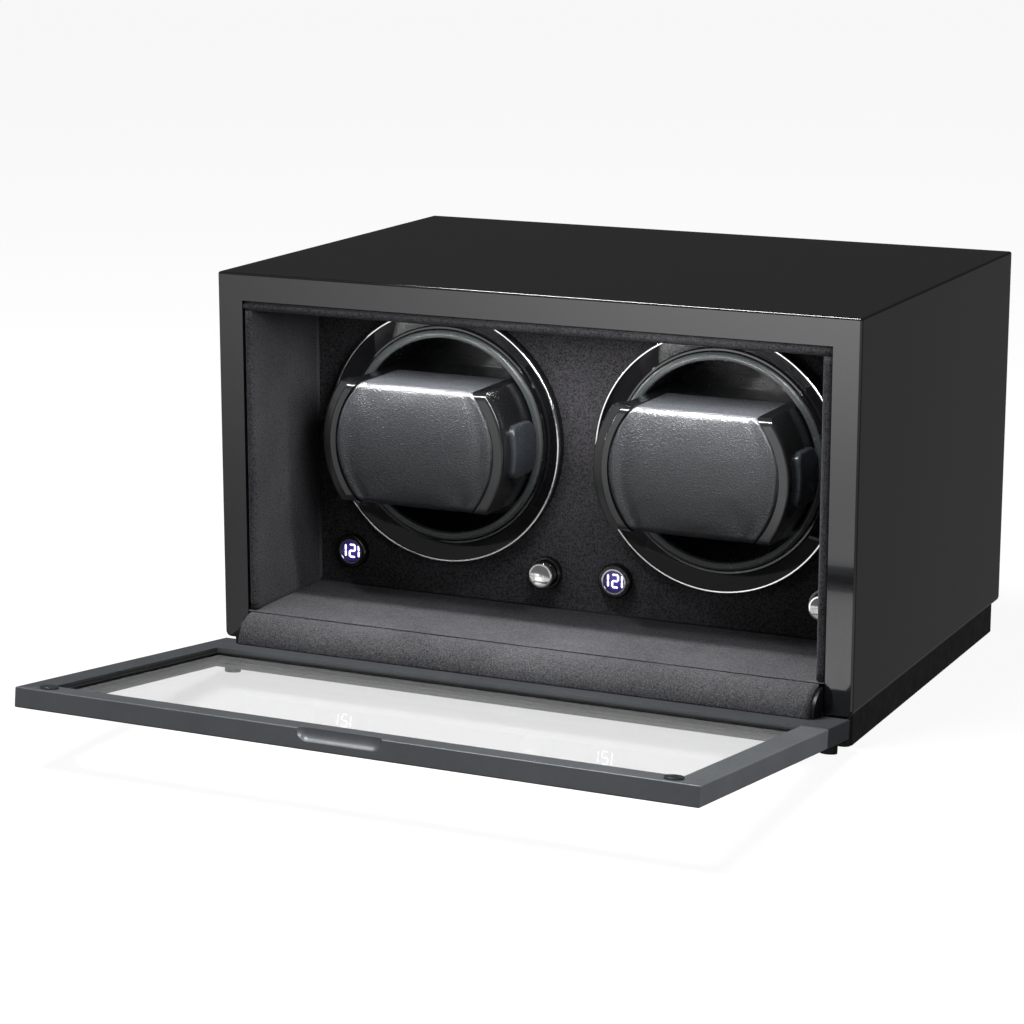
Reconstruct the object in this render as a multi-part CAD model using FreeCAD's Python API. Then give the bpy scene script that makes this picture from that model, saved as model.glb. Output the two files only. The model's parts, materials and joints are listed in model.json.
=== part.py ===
import FreeCAD, Part
import math
import os

# Watch winder box with two winding rotors and a drop-down glass door.
# Millimetres. While the pieces are made, x runs to the right, y is the depth
# behind the front face of the case, and z is the height above the underside
# of the case. Each finished piece is then moved so that the origin lies in the
# middle of the base, on the surface that the box stands on, with +Z up.

V = FreeCAD.Vector
X_AXIS = V(1, 0, 0)
Y_AXIS = V(0, 1, 0)
Z_AXIS = V(0, 0, 1)
SIDES = (("left", -1), ("right", 1))

# Driving dimensions of the case
case_depth = 233.0
panel_thickness = 13.5
floor_thickness = 14.8
rear_thickness = 9.0
case_edge_radius = 1.2
case_foot_radius = 3.0
plinth_thickness = 15.0
plinth_side_inset = 2.0
plinth_end_inset = 4.4
plinth_corner_radius = 3.0
felt_thickness = 1.0
felt_inset = 1.5

# Driving dimensions of the lining and the fascia
lining_thickness = 4.6
lining_gap = 0.4
lining_edge_radius = 2.1
pad_thickness = 1.0
pad_lip_gap = 0.4
pad_lip_thickness = 0.4
pad_slope_depth = 9.0
fascia_depth = 67.5
fascia_thickness = 5.0
cleat_width = 10.0
cleat_depth = 12.0

# Driving dimensions of the winding rotors
bezel_width = 10.3
bezel_mid_gap = 19.2
bezel_side_gap = 9.5
bezel_floor_gap = 19.0
bezel_ceiling_gap = 3.3
bezel_height = 7.2
bezel_ring_width = 1.0
bezel_ring_height = 2.0
bezel_ring_overhang = 0.4
bezel_dish_depth = 3.9
bezel_lip_width = 0.9
bezel_lip_height = 0.8
spigot_wall = 6.2
rim_radius = 53.4
rim_width = 4.2
rim_height = 4.4
rim_recess = 2.3
rim_edge_radius = 1.5
rotor_gap = 0.6
cup_wall = 2.2
cup_depth = 46.4
cup_floor = 3.0
hub_radius = 9.0
hub_length = 5.2
housing_wall = 2.5
housing_gap = 3.1
housing_flange_width = 9.0
housing_flange_thickness = 2.5
housing_floor = 3.0
shaft_radius = 3.0
shaft_clearance = 0.05
bush_wall = 3.0
bush_flange_width = 3.0
bush_flange_thickness = 1.5
bush_tail = 1.5

# Driving dimensions of the gear drive
gear_module = 1.0
gear_teeth = 60
pinion_teeth = 20
gear_width = 6.0
pinion_width = 7.0
gear_hub_radius = 8.0
gear_hub_length = 12.0
tooth_share = 0.42
tooth_taper = 0.32
tooth_addendum = 0.9
tooth_dedendum = 1.25
pinion_shaft_radius = 2.0
pinion_shaft_grip = 10.0
motor_radius = 17.0
motor_length = 34.0
motor_plate_thickness = 3.0
motor_plate_width = 26.0
motor_plate_margin = 6.0
pillar_radius = 4.0
pillar_spread = 29.5
pillar_offset = 3.0
gear_run_gap = 2.0

# Driving dimensions of the cushions
cushion_front_depth = 28.3
cushion_half_height = 30.2
cushion_clearance = 0.5
cushion_seat_gap = 0.3
cushion_wall = 2.6
cushion_cap_width = 5.3
cap_front_set_back = 0.4
cap_edge_radius = 1.3
cap_band_width = 3.4
cap_band_edge_radius = 0.6
cap_flange_reach = 3.1
cap_flange_step = 1.8
cap_flange_fall = 0.6
cap_flange_depth = 12.0
leather_wrap = 2.6
leather_wrap_end_depth = 72.0
pad_front_thickness = 4.0
pad_corner_radius = 3.6
pad_crown = 1.0
pad_end_dip = 0.8
pad_side_draw = 0.2
tab_half_height = 13.2
tab_front_margin = 2.6
tab_rear_margin = 1.6
tab_proud = 2.6
tab_edge_radius = 1.6
tab_flange_width = 2.0
tab_flange_thickness = 1.6
tab_clearance = 0.4
tab_corner_radius = 5.0

# Driving dimensions of the controls
control_gap = 1.4
control_inset = 9.2
display_radius = 8.65
display_height = 4.0
display_edge_radius = 1.0
display_lens_radius = 6.4
display_trim_width = 0.7
display_trim_height = 1.7
display_trim_proud = 0.2
display_lens_thickness = 2.0
display_body_radius = 5.0
control_spigot_radius = 7.4
control_spigot_length = 6.5
control_hole_gap = 0.15
collar_radius = 8.3
collar_height = 3.0
button_radius = 6.5
button_proud = 8.8
button_edge_radius = 0.8
button_dish_radius = 30.0
button_dish_rim = 1.3
button_bore_gap = 0.4
button_root = 2.5
button_stem_radius = 2.0
button_travel = 1.5
board_stand_off = 7.5
board_thickness = 1.6
board_housing_gap = 1.1
board_floor_gap = 10.6
board_side_margin = 10.5
stand_off_radius = 2.5

# Driving dimensions of the rear fittings
rear_screw_radius = 1.75
rear_screw_head_radius = 3.5
rear_screw_head_height = 2.0
rear_screw_length = 22.0
rear_screw_spread = 110.0
rear_screw_edge = 7.0
jack_height = 30.0
jack_radius = 5.5
jack_length = 18.0
jack_flange_radius = 7.5
jack_flange_thickness = 1.5
jack_bore_radius = 2.75
jack_bore_depth = 9.5
jack_pin_radius = 1.0
lead_radius = 1.5
lead_bend_radius = 7.0
lead_rise = 0.3
lead_tail = 14.0

# Driving dimensions of the door
door_tilt = 7.09
door_axis_forward = 0.6
door_axis_height = 0.3
door_overhang = 0.4
door_side_inset = 0.7
door_thickness = 9.3
door_rail_width = 12.7
door_bottom_rail_width = 30.0
door_edge_radius = 0.7
glass_thickness = 4.0
gasket_wall = 0.6
gasket_lip = 2.0
groove_depth = 5.0
groove_set_back = 2.2
bumper_radius = 4.2
bumper_thickness = 1.0
bumper_gap = 0.3
bumper_inset = 14.1
foot_radius = 4.0
foot_height = 6.4
foot_side_inset = 7.6
foot_back_inset = 5.0
scoop_width = 41.0
scoop_radius = 5.0
scoop_forward = 2.0
scoop_drop = 1.0

# Driving dimensions of the hinges and the apron that covers them
hinge_pin_radius = 1.5
hinge_pin_clearance = 0.05
hinge_knuckle_radius = 3.2
hinge_knuckle_width = 3.0
hinge_knuckle_inset = 4.9
hinge_plate_length = 28.0
hinge_plate_thickness = 1.2
hinge_arm_thickness = 1.6
hinge_arm_radius = 12.8
hinge_arm_gap = 0.5
hinge_notch_gap = 0.4
apron_radius = 14.2
apron_suede_thickness = 1.4
apron_board_thickness = 2.0
apron_angle = 83.0
apron_end_gap = 0.4
apron_floor_gap = 0.6

# Sizes worked out from the driving dimensions
bezel_radius = rim_radius + bezel_width
rotor_x = bezel_mid_gap / 2 + bezel_radius
inner_half = rotor_x + bezel_radius + bezel_side_gap
opening_half = inner_half + lining_thickness + lining_gap
case_half = opening_half + panel_thickness
floor_top = floor_thickness + pad_thickness
rotor_z = floor_top + bezel_floor_gap + bezel_radius
ceiling_z = rotor_z + bezel_radius + bezel_ceiling_gap
opening_top = ceiling_z + lining_thickness + lining_gap
case_height = opening_top + panel_thickness
base_height = plinth_thickness + felt_thickness
rear_front = case_depth - rear_thickness
fascia_back = fascia_depth + fascia_thickness
bezel_front = fascia_depth - bezel_height
door_gap = bumper_thickness + bumper_gap
door_face = -(door_gap - door_axis_forward)
door_back = door_face - door_thickness
door_length = case_height + door_overhang - door_axis_height
door_half = case_half - door_side_inset
window_half = door_half - door_rail_width
axis_y = -door_axis_forward
axis_z = door_axis_height
floor_front = axis_y + apron_radius + apron_floor_gap + door_gap
rim_front = bezel_front + rim_recess
cup_inner = rim_radius - rim_width
cup_outer = cup_inner + cup_wall
cup_back = rim_front + cup_depth
hub_end = cup_back + cup_floor + hub_length
housing_inner = cup_outer + housing_gap
housing_outer = housing_inner + housing_wall
bush_front = hub_end + cushion_seat_gap
housing_back_front = bush_front + bush_flange_thickness
housing_back = housing_back_front + housing_floor
bush_radius = shaft_radius + bush_wall
gear_hub_front = housing_back + bush_tail + shaft_clearance * 10
gear_front = gear_hub_front + gear_run_gap
gear_hub_end = gear_hub_front + gear_hub_length
gear_radius = gear_module * gear_teeth / 2
pinion_radius = gear_module * pinion_teeth / 2
centre_distance = gear_radius + pinion_radius
pinion_front = gear_front - (pinion_width - gear_width) / 2
motor_plate_front = gear_hub_end + gear_run_gap
motor_front = motor_plate_front + motor_plate_thickness
motor_end = motor_front + motor_length
cushion_radius = cup_inner - cushion_clearance
seam_radius = cushion_radius - cushion_cap_width
cushion_back = cup_back - cushion_seat_gap
core_half = cushion_half_height - leather_wrap
core_front = cushion_front_depth + pad_front_thickness
hollow_front = core_front + cushion_wall
hollow_radius = cushion_radius - cushion_wall
tab_front = hollow_front + tab_front_margin
tab_rear = rim_front - tab_rear_margin
control_z = rotor_z - bezel_radius - control_gap
control_offset = bezel_radius - control_inset
board_front = fascia_back + board_stand_off
board_back = board_front + board_thickness


def box(x0, x1, y0, y1, z0, z1):
    return Part.makeBox(x1 - x0, y1 - y0, z1 - z0, V(x0, y0, z0))


def rod_y(radius, y0, y1, x=0.0, z=0.0):
    return Part.makeCylinder(radius, y1 - y0, V(x, y0, z), Y_AXIS)


def rod_x(radius, x0, x1, y=0.0, z=0.0):
    return Part.makeCylinder(radius, x1 - x0, V(x0, y, z), X_AXIS)


def tube_y(outer, inner, y0, y1, x=0.0, z=0.0):
    return rod_y(outer, y0, y1, x, z).cut(rod_y(inner, y0, y1, x, z))


def turned(points, x=0.0, z=0.0):
    """A solid turned about an axis along y from points of radius and depth."""
    corners = [V(x + radius, depth, z) for radius, depth in points]
    face = Part.Face(Part.makePolygon(corners + corners[:1]))
    return face.revolve(V(x, 0, z), Y_AXIS, 360)


def prism_x(points, x0, x1):
    """A straight prism along x from points of y and z."""
    corners = [V(x0, y, z) for y, z in points]
    return Part.Face(Part.makePolygon(corners + corners[:1])).extrude(V(x1 - x0, 0, 0))


def prism_y(points, y0, y1):
    """A straight prism along y from points of x and z."""
    corners = [V(x, y0, z) for x, z in points]
    return Part.Face(Part.makePolygon(corners + corners[:1])).extrude(V(0, y1 - y0, 0))


def prism_z(points, z0, z1):
    """A straight prism along z from points of x and y."""
    corners = [V(x, y, z0) for x, y in points]
    return Part.Face(Part.makePolygon(corners + corners[:1])).extrude(V(0, 0, z1 - z0))


def rounded(shape, radius, wanted):
    """The shape with the edges that wanted picks, by centre and box, rounded."""
    edges = [edge for edge in shape.Edges if wanted(edge.CenterOfMass, edge.BoundBox)]
    return shape.makeFillet(radius, edges)


def near(a, b):
    return abs(a - b) < 1e-4


def first_solid(shape):
    return shape.Solids[0]


def mirrored_pair(shape):
    return [shape, shape.mirror(V(0, 0, 0), X_AXIS)]


def save(name, *solids):
    shape = solids[0] if len(solids) == 1 else Part.makeCompound(list(solids))
    placed = shape.copy()
    placed.translate(V(0, -case_depth / 2, base_height))
    if not placed.isValid():
        print("not valid:", name)
    print(f"{name}: {len(placed.Solids)} solid, {placed.Volume / 1000:.2f} cm3")
    placed.exportStep(f"parts/{name}.step")


# Case: lacquered panels, mitred at the top edges
def case_block():
    block = box(-case_half, case_half, 0, case_depth, 0, case_height)
    block = rounded(block, case_foot_radius, lambda c, b: near(c.z, 0) and b.YLength > b.XLength)
    return rounded(
        block,
        case_edge_radius,
        lambda c, b: near(c.z, case_height) or (near(b.YLength, 0) and b.ZLength > case_height / 2),
    )


def make_case():
    block = case_block()
    top = prism_y(
        [
            (-case_half, case_height),
            (case_half, case_height),
            (opening_half, opening_top),
            (-opening_half, opening_top),
        ],
        0,
        case_depth,
    )
    save("case_top_panel", first_solid(block.common(top)))
    for side, sign in SIDES:
        wall = prism_y(
            [
                (sign * case_half, 0),
                (sign * case_half, case_height),
                (sign * opening_half, opening_top),
                (sign * opening_half, 0),
            ],
            0,
            case_depth,
        )
        save(f"case_{side}_panel", first_solid(block.common(wall)))

    screws, screw_space = rear_screws()
    floor = box(-opening_half, opening_half, floor_front, rear_front, 0, floor_thickness)
    save("case_floor_panel", floor.cut(screw_space))
    rear = box(-opening_half, opening_half, rear_front, case_depth, 0, opening_top)
    rear = rear.cut(rod_y(jack_radius, rear_front, case_depth, 0, jack_height))
    save("case_rear_panel", rear.cut(screw_space))
    save("rear_panel_screws", *screws)
    make_cleats(screw_space)

    plinth_half = case_half - plinth_side_inset
    plinth = box(
        -plinth_half,
        plinth_half,
        plinth_end_inset,
        case_depth - plinth_end_inset,
        -plinth_thickness,
        0,
    )
    plinth = rounded(plinth, plinth_corner_radius, lambda c, b: near(b.ZLength, plinth_thickness))
    save("plinth_board", plinth)
    felt = box(
        -plinth_half + felt_inset,
        plinth_half - felt_inset,
        plinth_end_inset + felt_inset,
        case_depth - plinth_end_inset - felt_inset,
        -base_height,
        -plinth_thickness,
    )
    save("base_felt", rounded(felt, plinth_corner_radius, lambda c, b: near(b.ZLength, felt_thickness)))


def rear_screws():
    """Four countersunk screws through the rear panel, and the space they take."""
    screws = []
    for z in (rear_screw_edge, opening_top - rear_screw_edge):
        for x in (-rear_screw_spread, rear_screw_spread):
            head_front = case_depth - rear_screw_head_height
            screws.append(
                turned(
                    [
                        (0, case_depth),
                        (rear_screw_head_radius, case_depth),
                        (rear_screw_radius, head_front),
                        (rear_screw_radius, case_depth - rear_screw_length),
                        (0, case_depth - rear_screw_length),
                    ],
                    x,
                    z,
                )
            )
    return screws, Part.makeCompound(screws)


def make_cleats(screw_space):
    """Wood strips that hold the fascia at its ends and the rear panel at its top."""
    cleats = []
    for _, sign in SIDES:
        ends = sorted((sign * opening_half, sign * (opening_half - cleat_width)))
        cleats.append(
            box(ends[0], ends[1], fascia_back, fascia_back + cleat_depth, floor_thickness, opening_top)
        )
    strip_half = rear_screw_spread + cleat_width
    strip_bottom = opening_top - rear_screw_edge * 2
    strip = box(-strip_half, strip_half, rear_front - cleat_depth * 2, rear_front, strip_bottom, opening_top)
    cleats.append(strip.cut(screw_space))
    save("case_cleats", *cleats)


# Lining: boards covered with suede, rounded along the front edge
def make_linings():
    outer = opening_half - lining_gap
    front = lining_gap
    for side, sign in SIDES:
        ends = sorted((sign * outer, sign * inner_half))
        board = box(ends[0], ends[1], front, fascia_depth, floor_top, ceiling_z)
        board = rounded(board, lining_edge_radius, lambda c, b: near(c.y, front) and b.ZLength > b.XLength)
        save(f"lining_{side}", board)
    board = box(-outer, outer, front, fascia_depth, ceiling_z, opening_top - lining_gap)
    board = rounded(board, lining_edge_radius, lambda c, b: near(c.y, front) and b.XLength > b.ZLength)
    save("lining_top", board)
    lip = pad_lip_gap - door_gap
    pad = prism_x(
        [
            (lip, floor_thickness),
            (lip, floor_thickness + pad_lip_thickness),
            (pad_slope_depth, floor_top),
            (fascia_depth, floor_top),
            (fascia_depth, floor_thickness),
        ],
        -outer,
        outer,
    )
    save("floor_pad", pad)


def make_fascia():
    """The suede board that carries the bezels, the displays and the buttons."""
    fascia = box(
        -opening_half,
        opening_half,
        fascia_depth,
        fascia_back,
        floor_thickness,
        opening_top,
    )
    holes = []
    for _, sign in SIDES:
        x = sign * rotor_x
        holes.append(rod_y(spigot_outer() + control_hole_gap, fascia_depth, fascia_back, x, rotor_z))
        for offset in (-control_offset, control_offset):
            radius = control_spigot_radius + control_hole_gap
            holes.append(rod_y(radius, fascia_depth, fascia_back, x + offset, control_z))
    save("fascia_panel", first_solid(fascia.cut(Part.makeCompound(holes))))


# Winding modules
def bezel_inner():
    return rim_radius + rotor_gap


def spigot_outer():
    return bezel_inner() + spigot_wall


def make_bezel(side, x):
    ring_inner = bezel_radius - bezel_ring_width
    ring_back = bezel_front + bezel_ring_height
    wall = bezel_radius - bezel_ring_overhang
    dish_front = bezel_front + bezel_ring_height / 2
    dish_back = dish_front + bezel_dish_depth
    lip_outer = bezel_inner() + bezel_lip_width
    disc = turned(
        [
            (wall, fascia_depth),
            (wall, ring_back),
            (ring_inner, ring_back),
            (ring_inner, dish_front),
            (lip_outer, dish_back),
            (lip_outer, dish_back - bezel_lip_height),
            (bezel_inner(), dish_back - bezel_lip_height),
            (bezel_inner(), fascia_back),
            (spigot_outer(), fascia_back),
            (spigot_outer(), fascia_depth),
        ],
        x,
        rotor_z,
    )
    save(f"bezel_disc_{side}", disc)
    ring = tube_y(bezel_radius, ring_inner, bezel_front, ring_back, x, rotor_z)
    ring = rounded(ring, bezel_ring_width / 4, lambda c, b: near(c.y, bezel_front))
    save(f"bezel_ring_{side}", ring)


def make_housing(side, sign):
    """The fixed can behind the fascia, with the two pillars that carry the motor."""
    x = sign * rotor_x
    flange = housing_outer + housing_flange_width
    can = turned(
        [
            (housing_inner, fascia_back),
            (flange, fascia_back),
            (flange, fascia_back + housing_flange_thickness),
            (housing_outer, fascia_back + housing_flange_thickness),
            (housing_outer, housing_back),
            (bush_radius, housing_back),
            (bush_radius, housing_back_front),
            (housing_inner, housing_back_front),
        ],
        x,
        rotor_z,
    )
    pillar_x = x - sign * (centre_distance + pillar_offset)
    for z in (rotor_z - pillar_spread, rotor_z + pillar_spread):
        can = can.fuse(rod_y(pillar_radius, housing_back_front, motor_plate_front, pillar_x, z))
    save(f"rotor_housing_{side}", first_solid(can.removeSplitter()))


def shaft_bush(x):
    bore = shaft_radius + shaft_clearance
    return turned(
        [
            (bore, bush_front),
            (bush_radius + bush_flange_width, bush_front),
            (bush_radius + bush_flange_width, housing_back_front),
            (bush_radius, housing_back_front),
            (bush_radius, housing_back + bush_tail),
            (bore, housing_back + bush_tail),
        ],
        x,
        rotor_z,
    )


def make_rotor(side, x):
    shaft_front = cup_back + cup_floor / 2
    cup = turned(
        [
            (cup_inner, rim_front),
            (rim_radius, rim_front),
            (rim_radius, rim_front + rim_height),
            (cup_outer, rim_front + rim_height),
            (cup_outer, cup_back + cup_floor),
            (hub_radius, cup_back + cup_floor),
            (hub_radius, hub_end),
            (shaft_radius, hub_end),
            (shaft_radius, shaft_front),
            (0, shaft_front),
            (0, cup_back),
            (cup_inner, cup_back),
        ],
        x,
        rotor_z,
    )
    cup = rounded(cup, rim_edge_radius, lambda c, b: near(c.y, rim_front) and near(b.YLength, 0))
    save(f"rotor_cup_{side}", cup)
    save(f"rotor_shaft_{side}", rod_y(shaft_radius, shaft_front, gear_hub_end, x, rotor_z))
    gear = spur_gear(gear_teeth, gear_front, gear_width, x, rotor_z, 0.0)
    gear = gear.fuse(rod_y(gear_hub_radius, gear_hub_front, gear_hub_end, x, rotor_z))
    gear = gear.cut(rod_y(shaft_radius, gear_hub_front, gear_hub_end, x, rotor_z))
    save(f"rotor_gear_{side}", first_solid(gear.removeSplitter()))


def spur_gear(teeth, front, width, x, z, turn):
    """A gear with straight-sided teeth, one of them at the angle turn from +x."""
    pitch_radius = gear_module * teeth / 2
    tip = pitch_radius + gear_module * tooth_addendum
    root = pitch_radius - gear_module * tooth_dedendum
    half_thick = math.pi * gear_module * tooth_share / 2
    tip_half = half_thick - gear_module * tooth_addendum * tooth_taper
    root_half = half_thick + gear_module * tooth_dedendum * tooth_taper
    corners = []
    for index in range(teeth):
        angle = turn + 2 * math.pi * index / teeth
        for radius, half in ((root, -root_half), (tip, -tip_half), (tip, tip_half), (root, root_half)):
            along = V(math.cos(angle), 0, math.sin(angle)) * radius
            across = V(-math.sin(angle), 0, math.cos(angle)) * half
            corners.append(V(x, front, z) + along + across)
    face = Part.Face(Part.makePolygon(corners + corners[:1]))
    return face.extrude(V(0, width, 0))


def make_drive(side, sign):
    """The gear motor on its plate, and the pinion on the motor's shaft."""
    x = sign * (rotor_x - centre_distance)
    towards_gear = 0.0 if sign > 0 else math.pi
    half_pitch = math.pi / pinion_teeth
    pinion = spur_gear(pinion_teeth, pinion_front, pinion_width, x, rotor_z, towards_gear + half_pitch)
    stem_end = motor_front + pinion_shaft_grip
    pinion = pinion.fuse(rod_y(pinion_shaft_radius, pinion_front, stem_end, x, rotor_z))
    save(f"motor_pinion_{side}", first_solid(pinion.removeSplitter()))

    plate_x = x - sign * pillar_offset
    plate_tall = pillar_spread + motor_plate_margin
    plate = box(
        plate_x - motor_plate_width / 2,
        plate_x + motor_plate_width / 2,
        motor_plate_front,
        motor_front,
        rotor_z - plate_tall,
        rotor_z + plate_tall,
    )
    plate = rounded(plate, motor_plate_margin, lambda c, b: near(b.YLength, motor_plate_thickness))
    motor = plate.fuse(rod_y(motor_radius, motor_front, motor_end, x, rotor_z))
    bore = pinion_shaft_radius + shaft_clearance
    motor = motor.cut(rod_y(bore, motor_plate_front, stem_end + gear_run_gap, x, rotor_z))
    save(f"gear_motor_{side}", first_solid(motor.removeSplitter()))


# Cushions, which pull out of the rotor cups
def slab(half_height, y0, y1, x):
    return box(x - rim_radius, x + rim_radius, y0, y1, rotor_z - half_height, rotor_z + half_height)


def tab_window(margin, x):
    """The rounded rectangle of the release tab as a prism along x."""
    block = box(
        x,
        x + rim_radius,
        tab_front - margin,
        tab_rear + margin,
        rotor_z - tab_half_height - margin,
        rotor_z + tab_half_height + margin,
    )
    return rounded(block, tab_corner_radius, lambda c, b: near(b.XLength, rim_radius))


def cap_ring(points, rounds, x):
    """A turned ring with its front edges rounded, each given by radius, depth and size."""
    ring = turned(points, x, rotor_z)
    for radius, depth, size in rounds:
        ring = rounded(ring, size, lambda c, b: near(c.y, depth) and near(b.XLength, 2 * radius))
    return ring


def end_caps(x):
    """The ends of the cushion: plain on the right, stepped out to a wider flange on the left."""
    front = cushion_front_depth + cap_front_set_back
    band = seam_radius + cap_band_width
    flange = cushion_radius + cap_flange_reach
    flange_front = front + cap_flange_step
    flange_edge = flange_front + cap_flange_fall
    flange_back = front + cap_flange_depth
    plain = cap_ring(
        [
            (seam_radius, front),
            (cushion_radius, front),
            (cushion_radius, cushion_back),
            (seam_radius, cushion_back),
        ],
        [(cushion_radius, front, cap_edge_radius)],
        x,
    )
    stepped = cap_ring(
        [
            (seam_radius, front),
            (band, front),
            (band, flange_front),
            (flange, flange_edge),
            (flange, flange_back),
            (cushion_radius, flange_back + cap_flange_reach),
            (cushion_radius, cushion_back),
            (seam_radius, cushion_back),
        ],
        [(band, front, cap_band_edge_radius), (flange, flange_edge, cap_edge_radius)],
        x,
    )
    tall = rounded(
        slab(cushion_half_height, front, cushion_back, x),
        pad_corner_radius,
        lambda c, b: near(c.y, front) and near(abs(c.z - rotor_z), cushion_half_height),
    )
    right = tall.common(box(x, x + rim_radius, front, cushion_back, 0, case_height))
    left = tall.cut(right)
    return plain.common(right).fuse(stepped.common(left))


def make_cushion(side, x):
    core = rod_y(seam_radius, core_front, cushion_back, x, rotor_z)
    core = core.common(slab(core_half, core_front, cushion_back, x))
    frame = end_caps(x).fuse(core)
    hollow = rod_y(hollow_radius, hollow_front, cushion_back, x, rotor_z)
    frame = frame.cut(hollow.common(slab(core_half - cushion_wall, hollow_front, cushion_back, x)))
    frame = frame.cut(tab_window(tab_clearance, x))
    save(f"cushion_frame_{side}", first_solid(frame.removeSplitter()))
    make_cushion_pad(side, x)
    make_tab(side, x)


def pad_section(x, share):
    """One upright outline of the leather pad, share of the way to its sewn end."""
    draw = share**8
    front = cushion_front_depth + pad_end_dip * draw
    half = cushion_half_height - pad_side_draw * draw
    corner = pad_corner_radius
    lean = corner * (1 - math.sqrt(0.5))
    shoulder = front + pad_crown
    points = {
        "back_top": V(x, leather_wrap_end_depth, rotor_z + half),
        "top": V(x, shoulder + corner, rotor_z + half),
        "top_turn": V(x, shoulder + lean, rotor_z + half - lean),
        "brow": V(x, shoulder, rotor_z + half - corner),
        "nose": V(x, front, rotor_z),
        "chin": V(x, shoulder, rotor_z - half + corner),
        "low_turn": V(x, shoulder + lean, rotor_z - half + lean),
        "low": V(x, shoulder + corner, rotor_z - half),
        "back_low": V(x, leather_wrap_end_depth, rotor_z - half),
    }
    edges = [
        Part.makeLine(points["back_top"], points["top"]),
        Part.Arc(points["top"], points["top_turn"], points["brow"]).toShape(),
        Part.Arc(points["brow"], points["nose"], points["chin"]).toShape(),
        Part.Arc(points["chin"], points["low_turn"], points["low"]).toShape(),
        Part.makeLine(points["low"], points["back_low"]),
        Part.makeLine(points["back_low"], points["back_top"]),
    ]
    return Part.Wire(edges)


def make_cushion_pad(side, x):
    """Padded leather, crowned in front and drawn in at its two sewn ends."""
    shares = (-1.0, -0.85, -0.6, -0.3, 0.0, 0.3, 0.6, 0.85, 1.0)
    wires = [pad_section(x + share * seam_radius, share) for share in shares]
    pad = Part.makeLoft(wires, True, False)
    pad = pad.common(rod_y(seam_radius, 0, leather_wrap_end_depth, x, rotor_z))
    pad = pad.cut(slab(core_half, core_front, leather_wrap_end_depth, x))
    save(f"cushion_pad_{side}", first_solid(pad))


def make_tab(side, x):
    """The release tab in the right-hand end of the cushion."""
    face_radius = cushion_radius + tab_proud
    shell = tube_y(face_radius, hollow_radius - tab_clearance, tab_front, tab_rear, x, rotor_z)
    tab = tab_window(0.0, x).common(shell)
    tab = rounded(
        tab,
        tab_edge_radius,
        lambda c, b: math.hypot(c.x - x, c.z - rotor_z) > cushion_radius,
    )
    flange_outer = hollow_radius - tab_clearance
    flange = tube_y(
        flange_outer,
        flange_outer - tab_flange_thickness,
        tab_front - tab_flange_width,
        tab_rear + tab_flange_width,
        x,
        rotor_z,
    )
    flange = flange.common(tab_window(tab_flange_width, x))
    save(f"release_tab_{side}", first_solid(tab.fuse(flange).removeSplitter()))


# Displays, buttons and the board behind them
def display_places():
    return [sign * rotor_x - control_offset for _, sign in SIDES]


def button_places():
    return [sign * rotor_x + control_offset for _, sign in SIDES]


def control_ring(radius, height, bore, edge, x):
    front = fascia_depth - height
    ring = turned(
        [
            (bore, front),
            (radius, front),
            (radius, fascia_depth),
            (control_spigot_radius, fascia_depth),
            (control_spigot_radius, fascia_depth + control_spigot_length),
            (bore, fascia_depth + control_spigot_length),
        ],
        x,
        control_z,
    )
    return rounded(ring, edge, lambda c, b: near(c.y, front) and b.XLength > radius * 1.9)


def make_displays():
    front = fascia_depth - display_height
    trim_back = front + display_trim_height
    lens_back = trim_back + display_lens_thickness
    bezels = []
    trims = []
    lenses = []
    for x in display_places():
        bore = display_lens_radius
        bezels.append(control_ring(display_radius, display_height, bore, display_edge_radius, x))
        trim_inner = display_lens_radius - display_trim_width
        trims.append(
            tube_y(display_lens_radius, trim_inner, front - display_trim_proud, trim_back, x, control_z)
        )
        lens = rod_y(display_lens_radius, trim_back, lens_back, x, control_z)
        lens = lens.fuse(rod_y(display_body_radius, trim_back, board_front, x, control_z))
        lenses.append(first_solid(lens.removeSplitter()))
    save("display_bezels", *bezels)
    save("display_trims", *trims)
    save("display_windows", *lenses)


def make_buttons():
    bore = button_radius + button_bore_gap
    save("button_collars", *[control_ring(collar_radius, collar_height, bore, display_edge_radius / 2, x)
                             for x in button_places()])
    front = fascia_depth - button_proud
    root = fascia_depth + button_root
    dish_reach = math.sqrt(button_dish_radius**2 - (button_radius - button_dish_rim) ** 2)
    stem_end = board_front - button_travel - cushion_seat_gap
    for (side, _), x in zip(SIDES, button_places()):
        cap = rod_y(button_radius, front, root, x, control_z)
        cap = rounded(cap, button_edge_radius, lambda c, b: near(c.y, front) and near(b.YLength, 0))
        cap = cap.cut(Part.makeSphere(button_dish_radius, V(x, front - dish_reach, control_z)))
        cap = cap.fuse(rod_y(button_stem_radius, root, stem_end, x, control_z))
        save(f"mode_button_{side}", first_solid(cap.removeSplitter()))


def make_board():
    half = opening_half - board_side_margin
    low = floor_top + board_floor_gap
    high = rotor_z - housing_outer - board_housing_gap
    save("control_board", box(-half, half, board_front, board_back, low, high))
    posts = []
    for x in (-half + stand_off_radius, 0.0, half - stand_off_radius):
        posts.append(rod_y(stand_off_radius, fascia_back, board_front, x, control_z))
    save("board_stand_offs", *posts)


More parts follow.
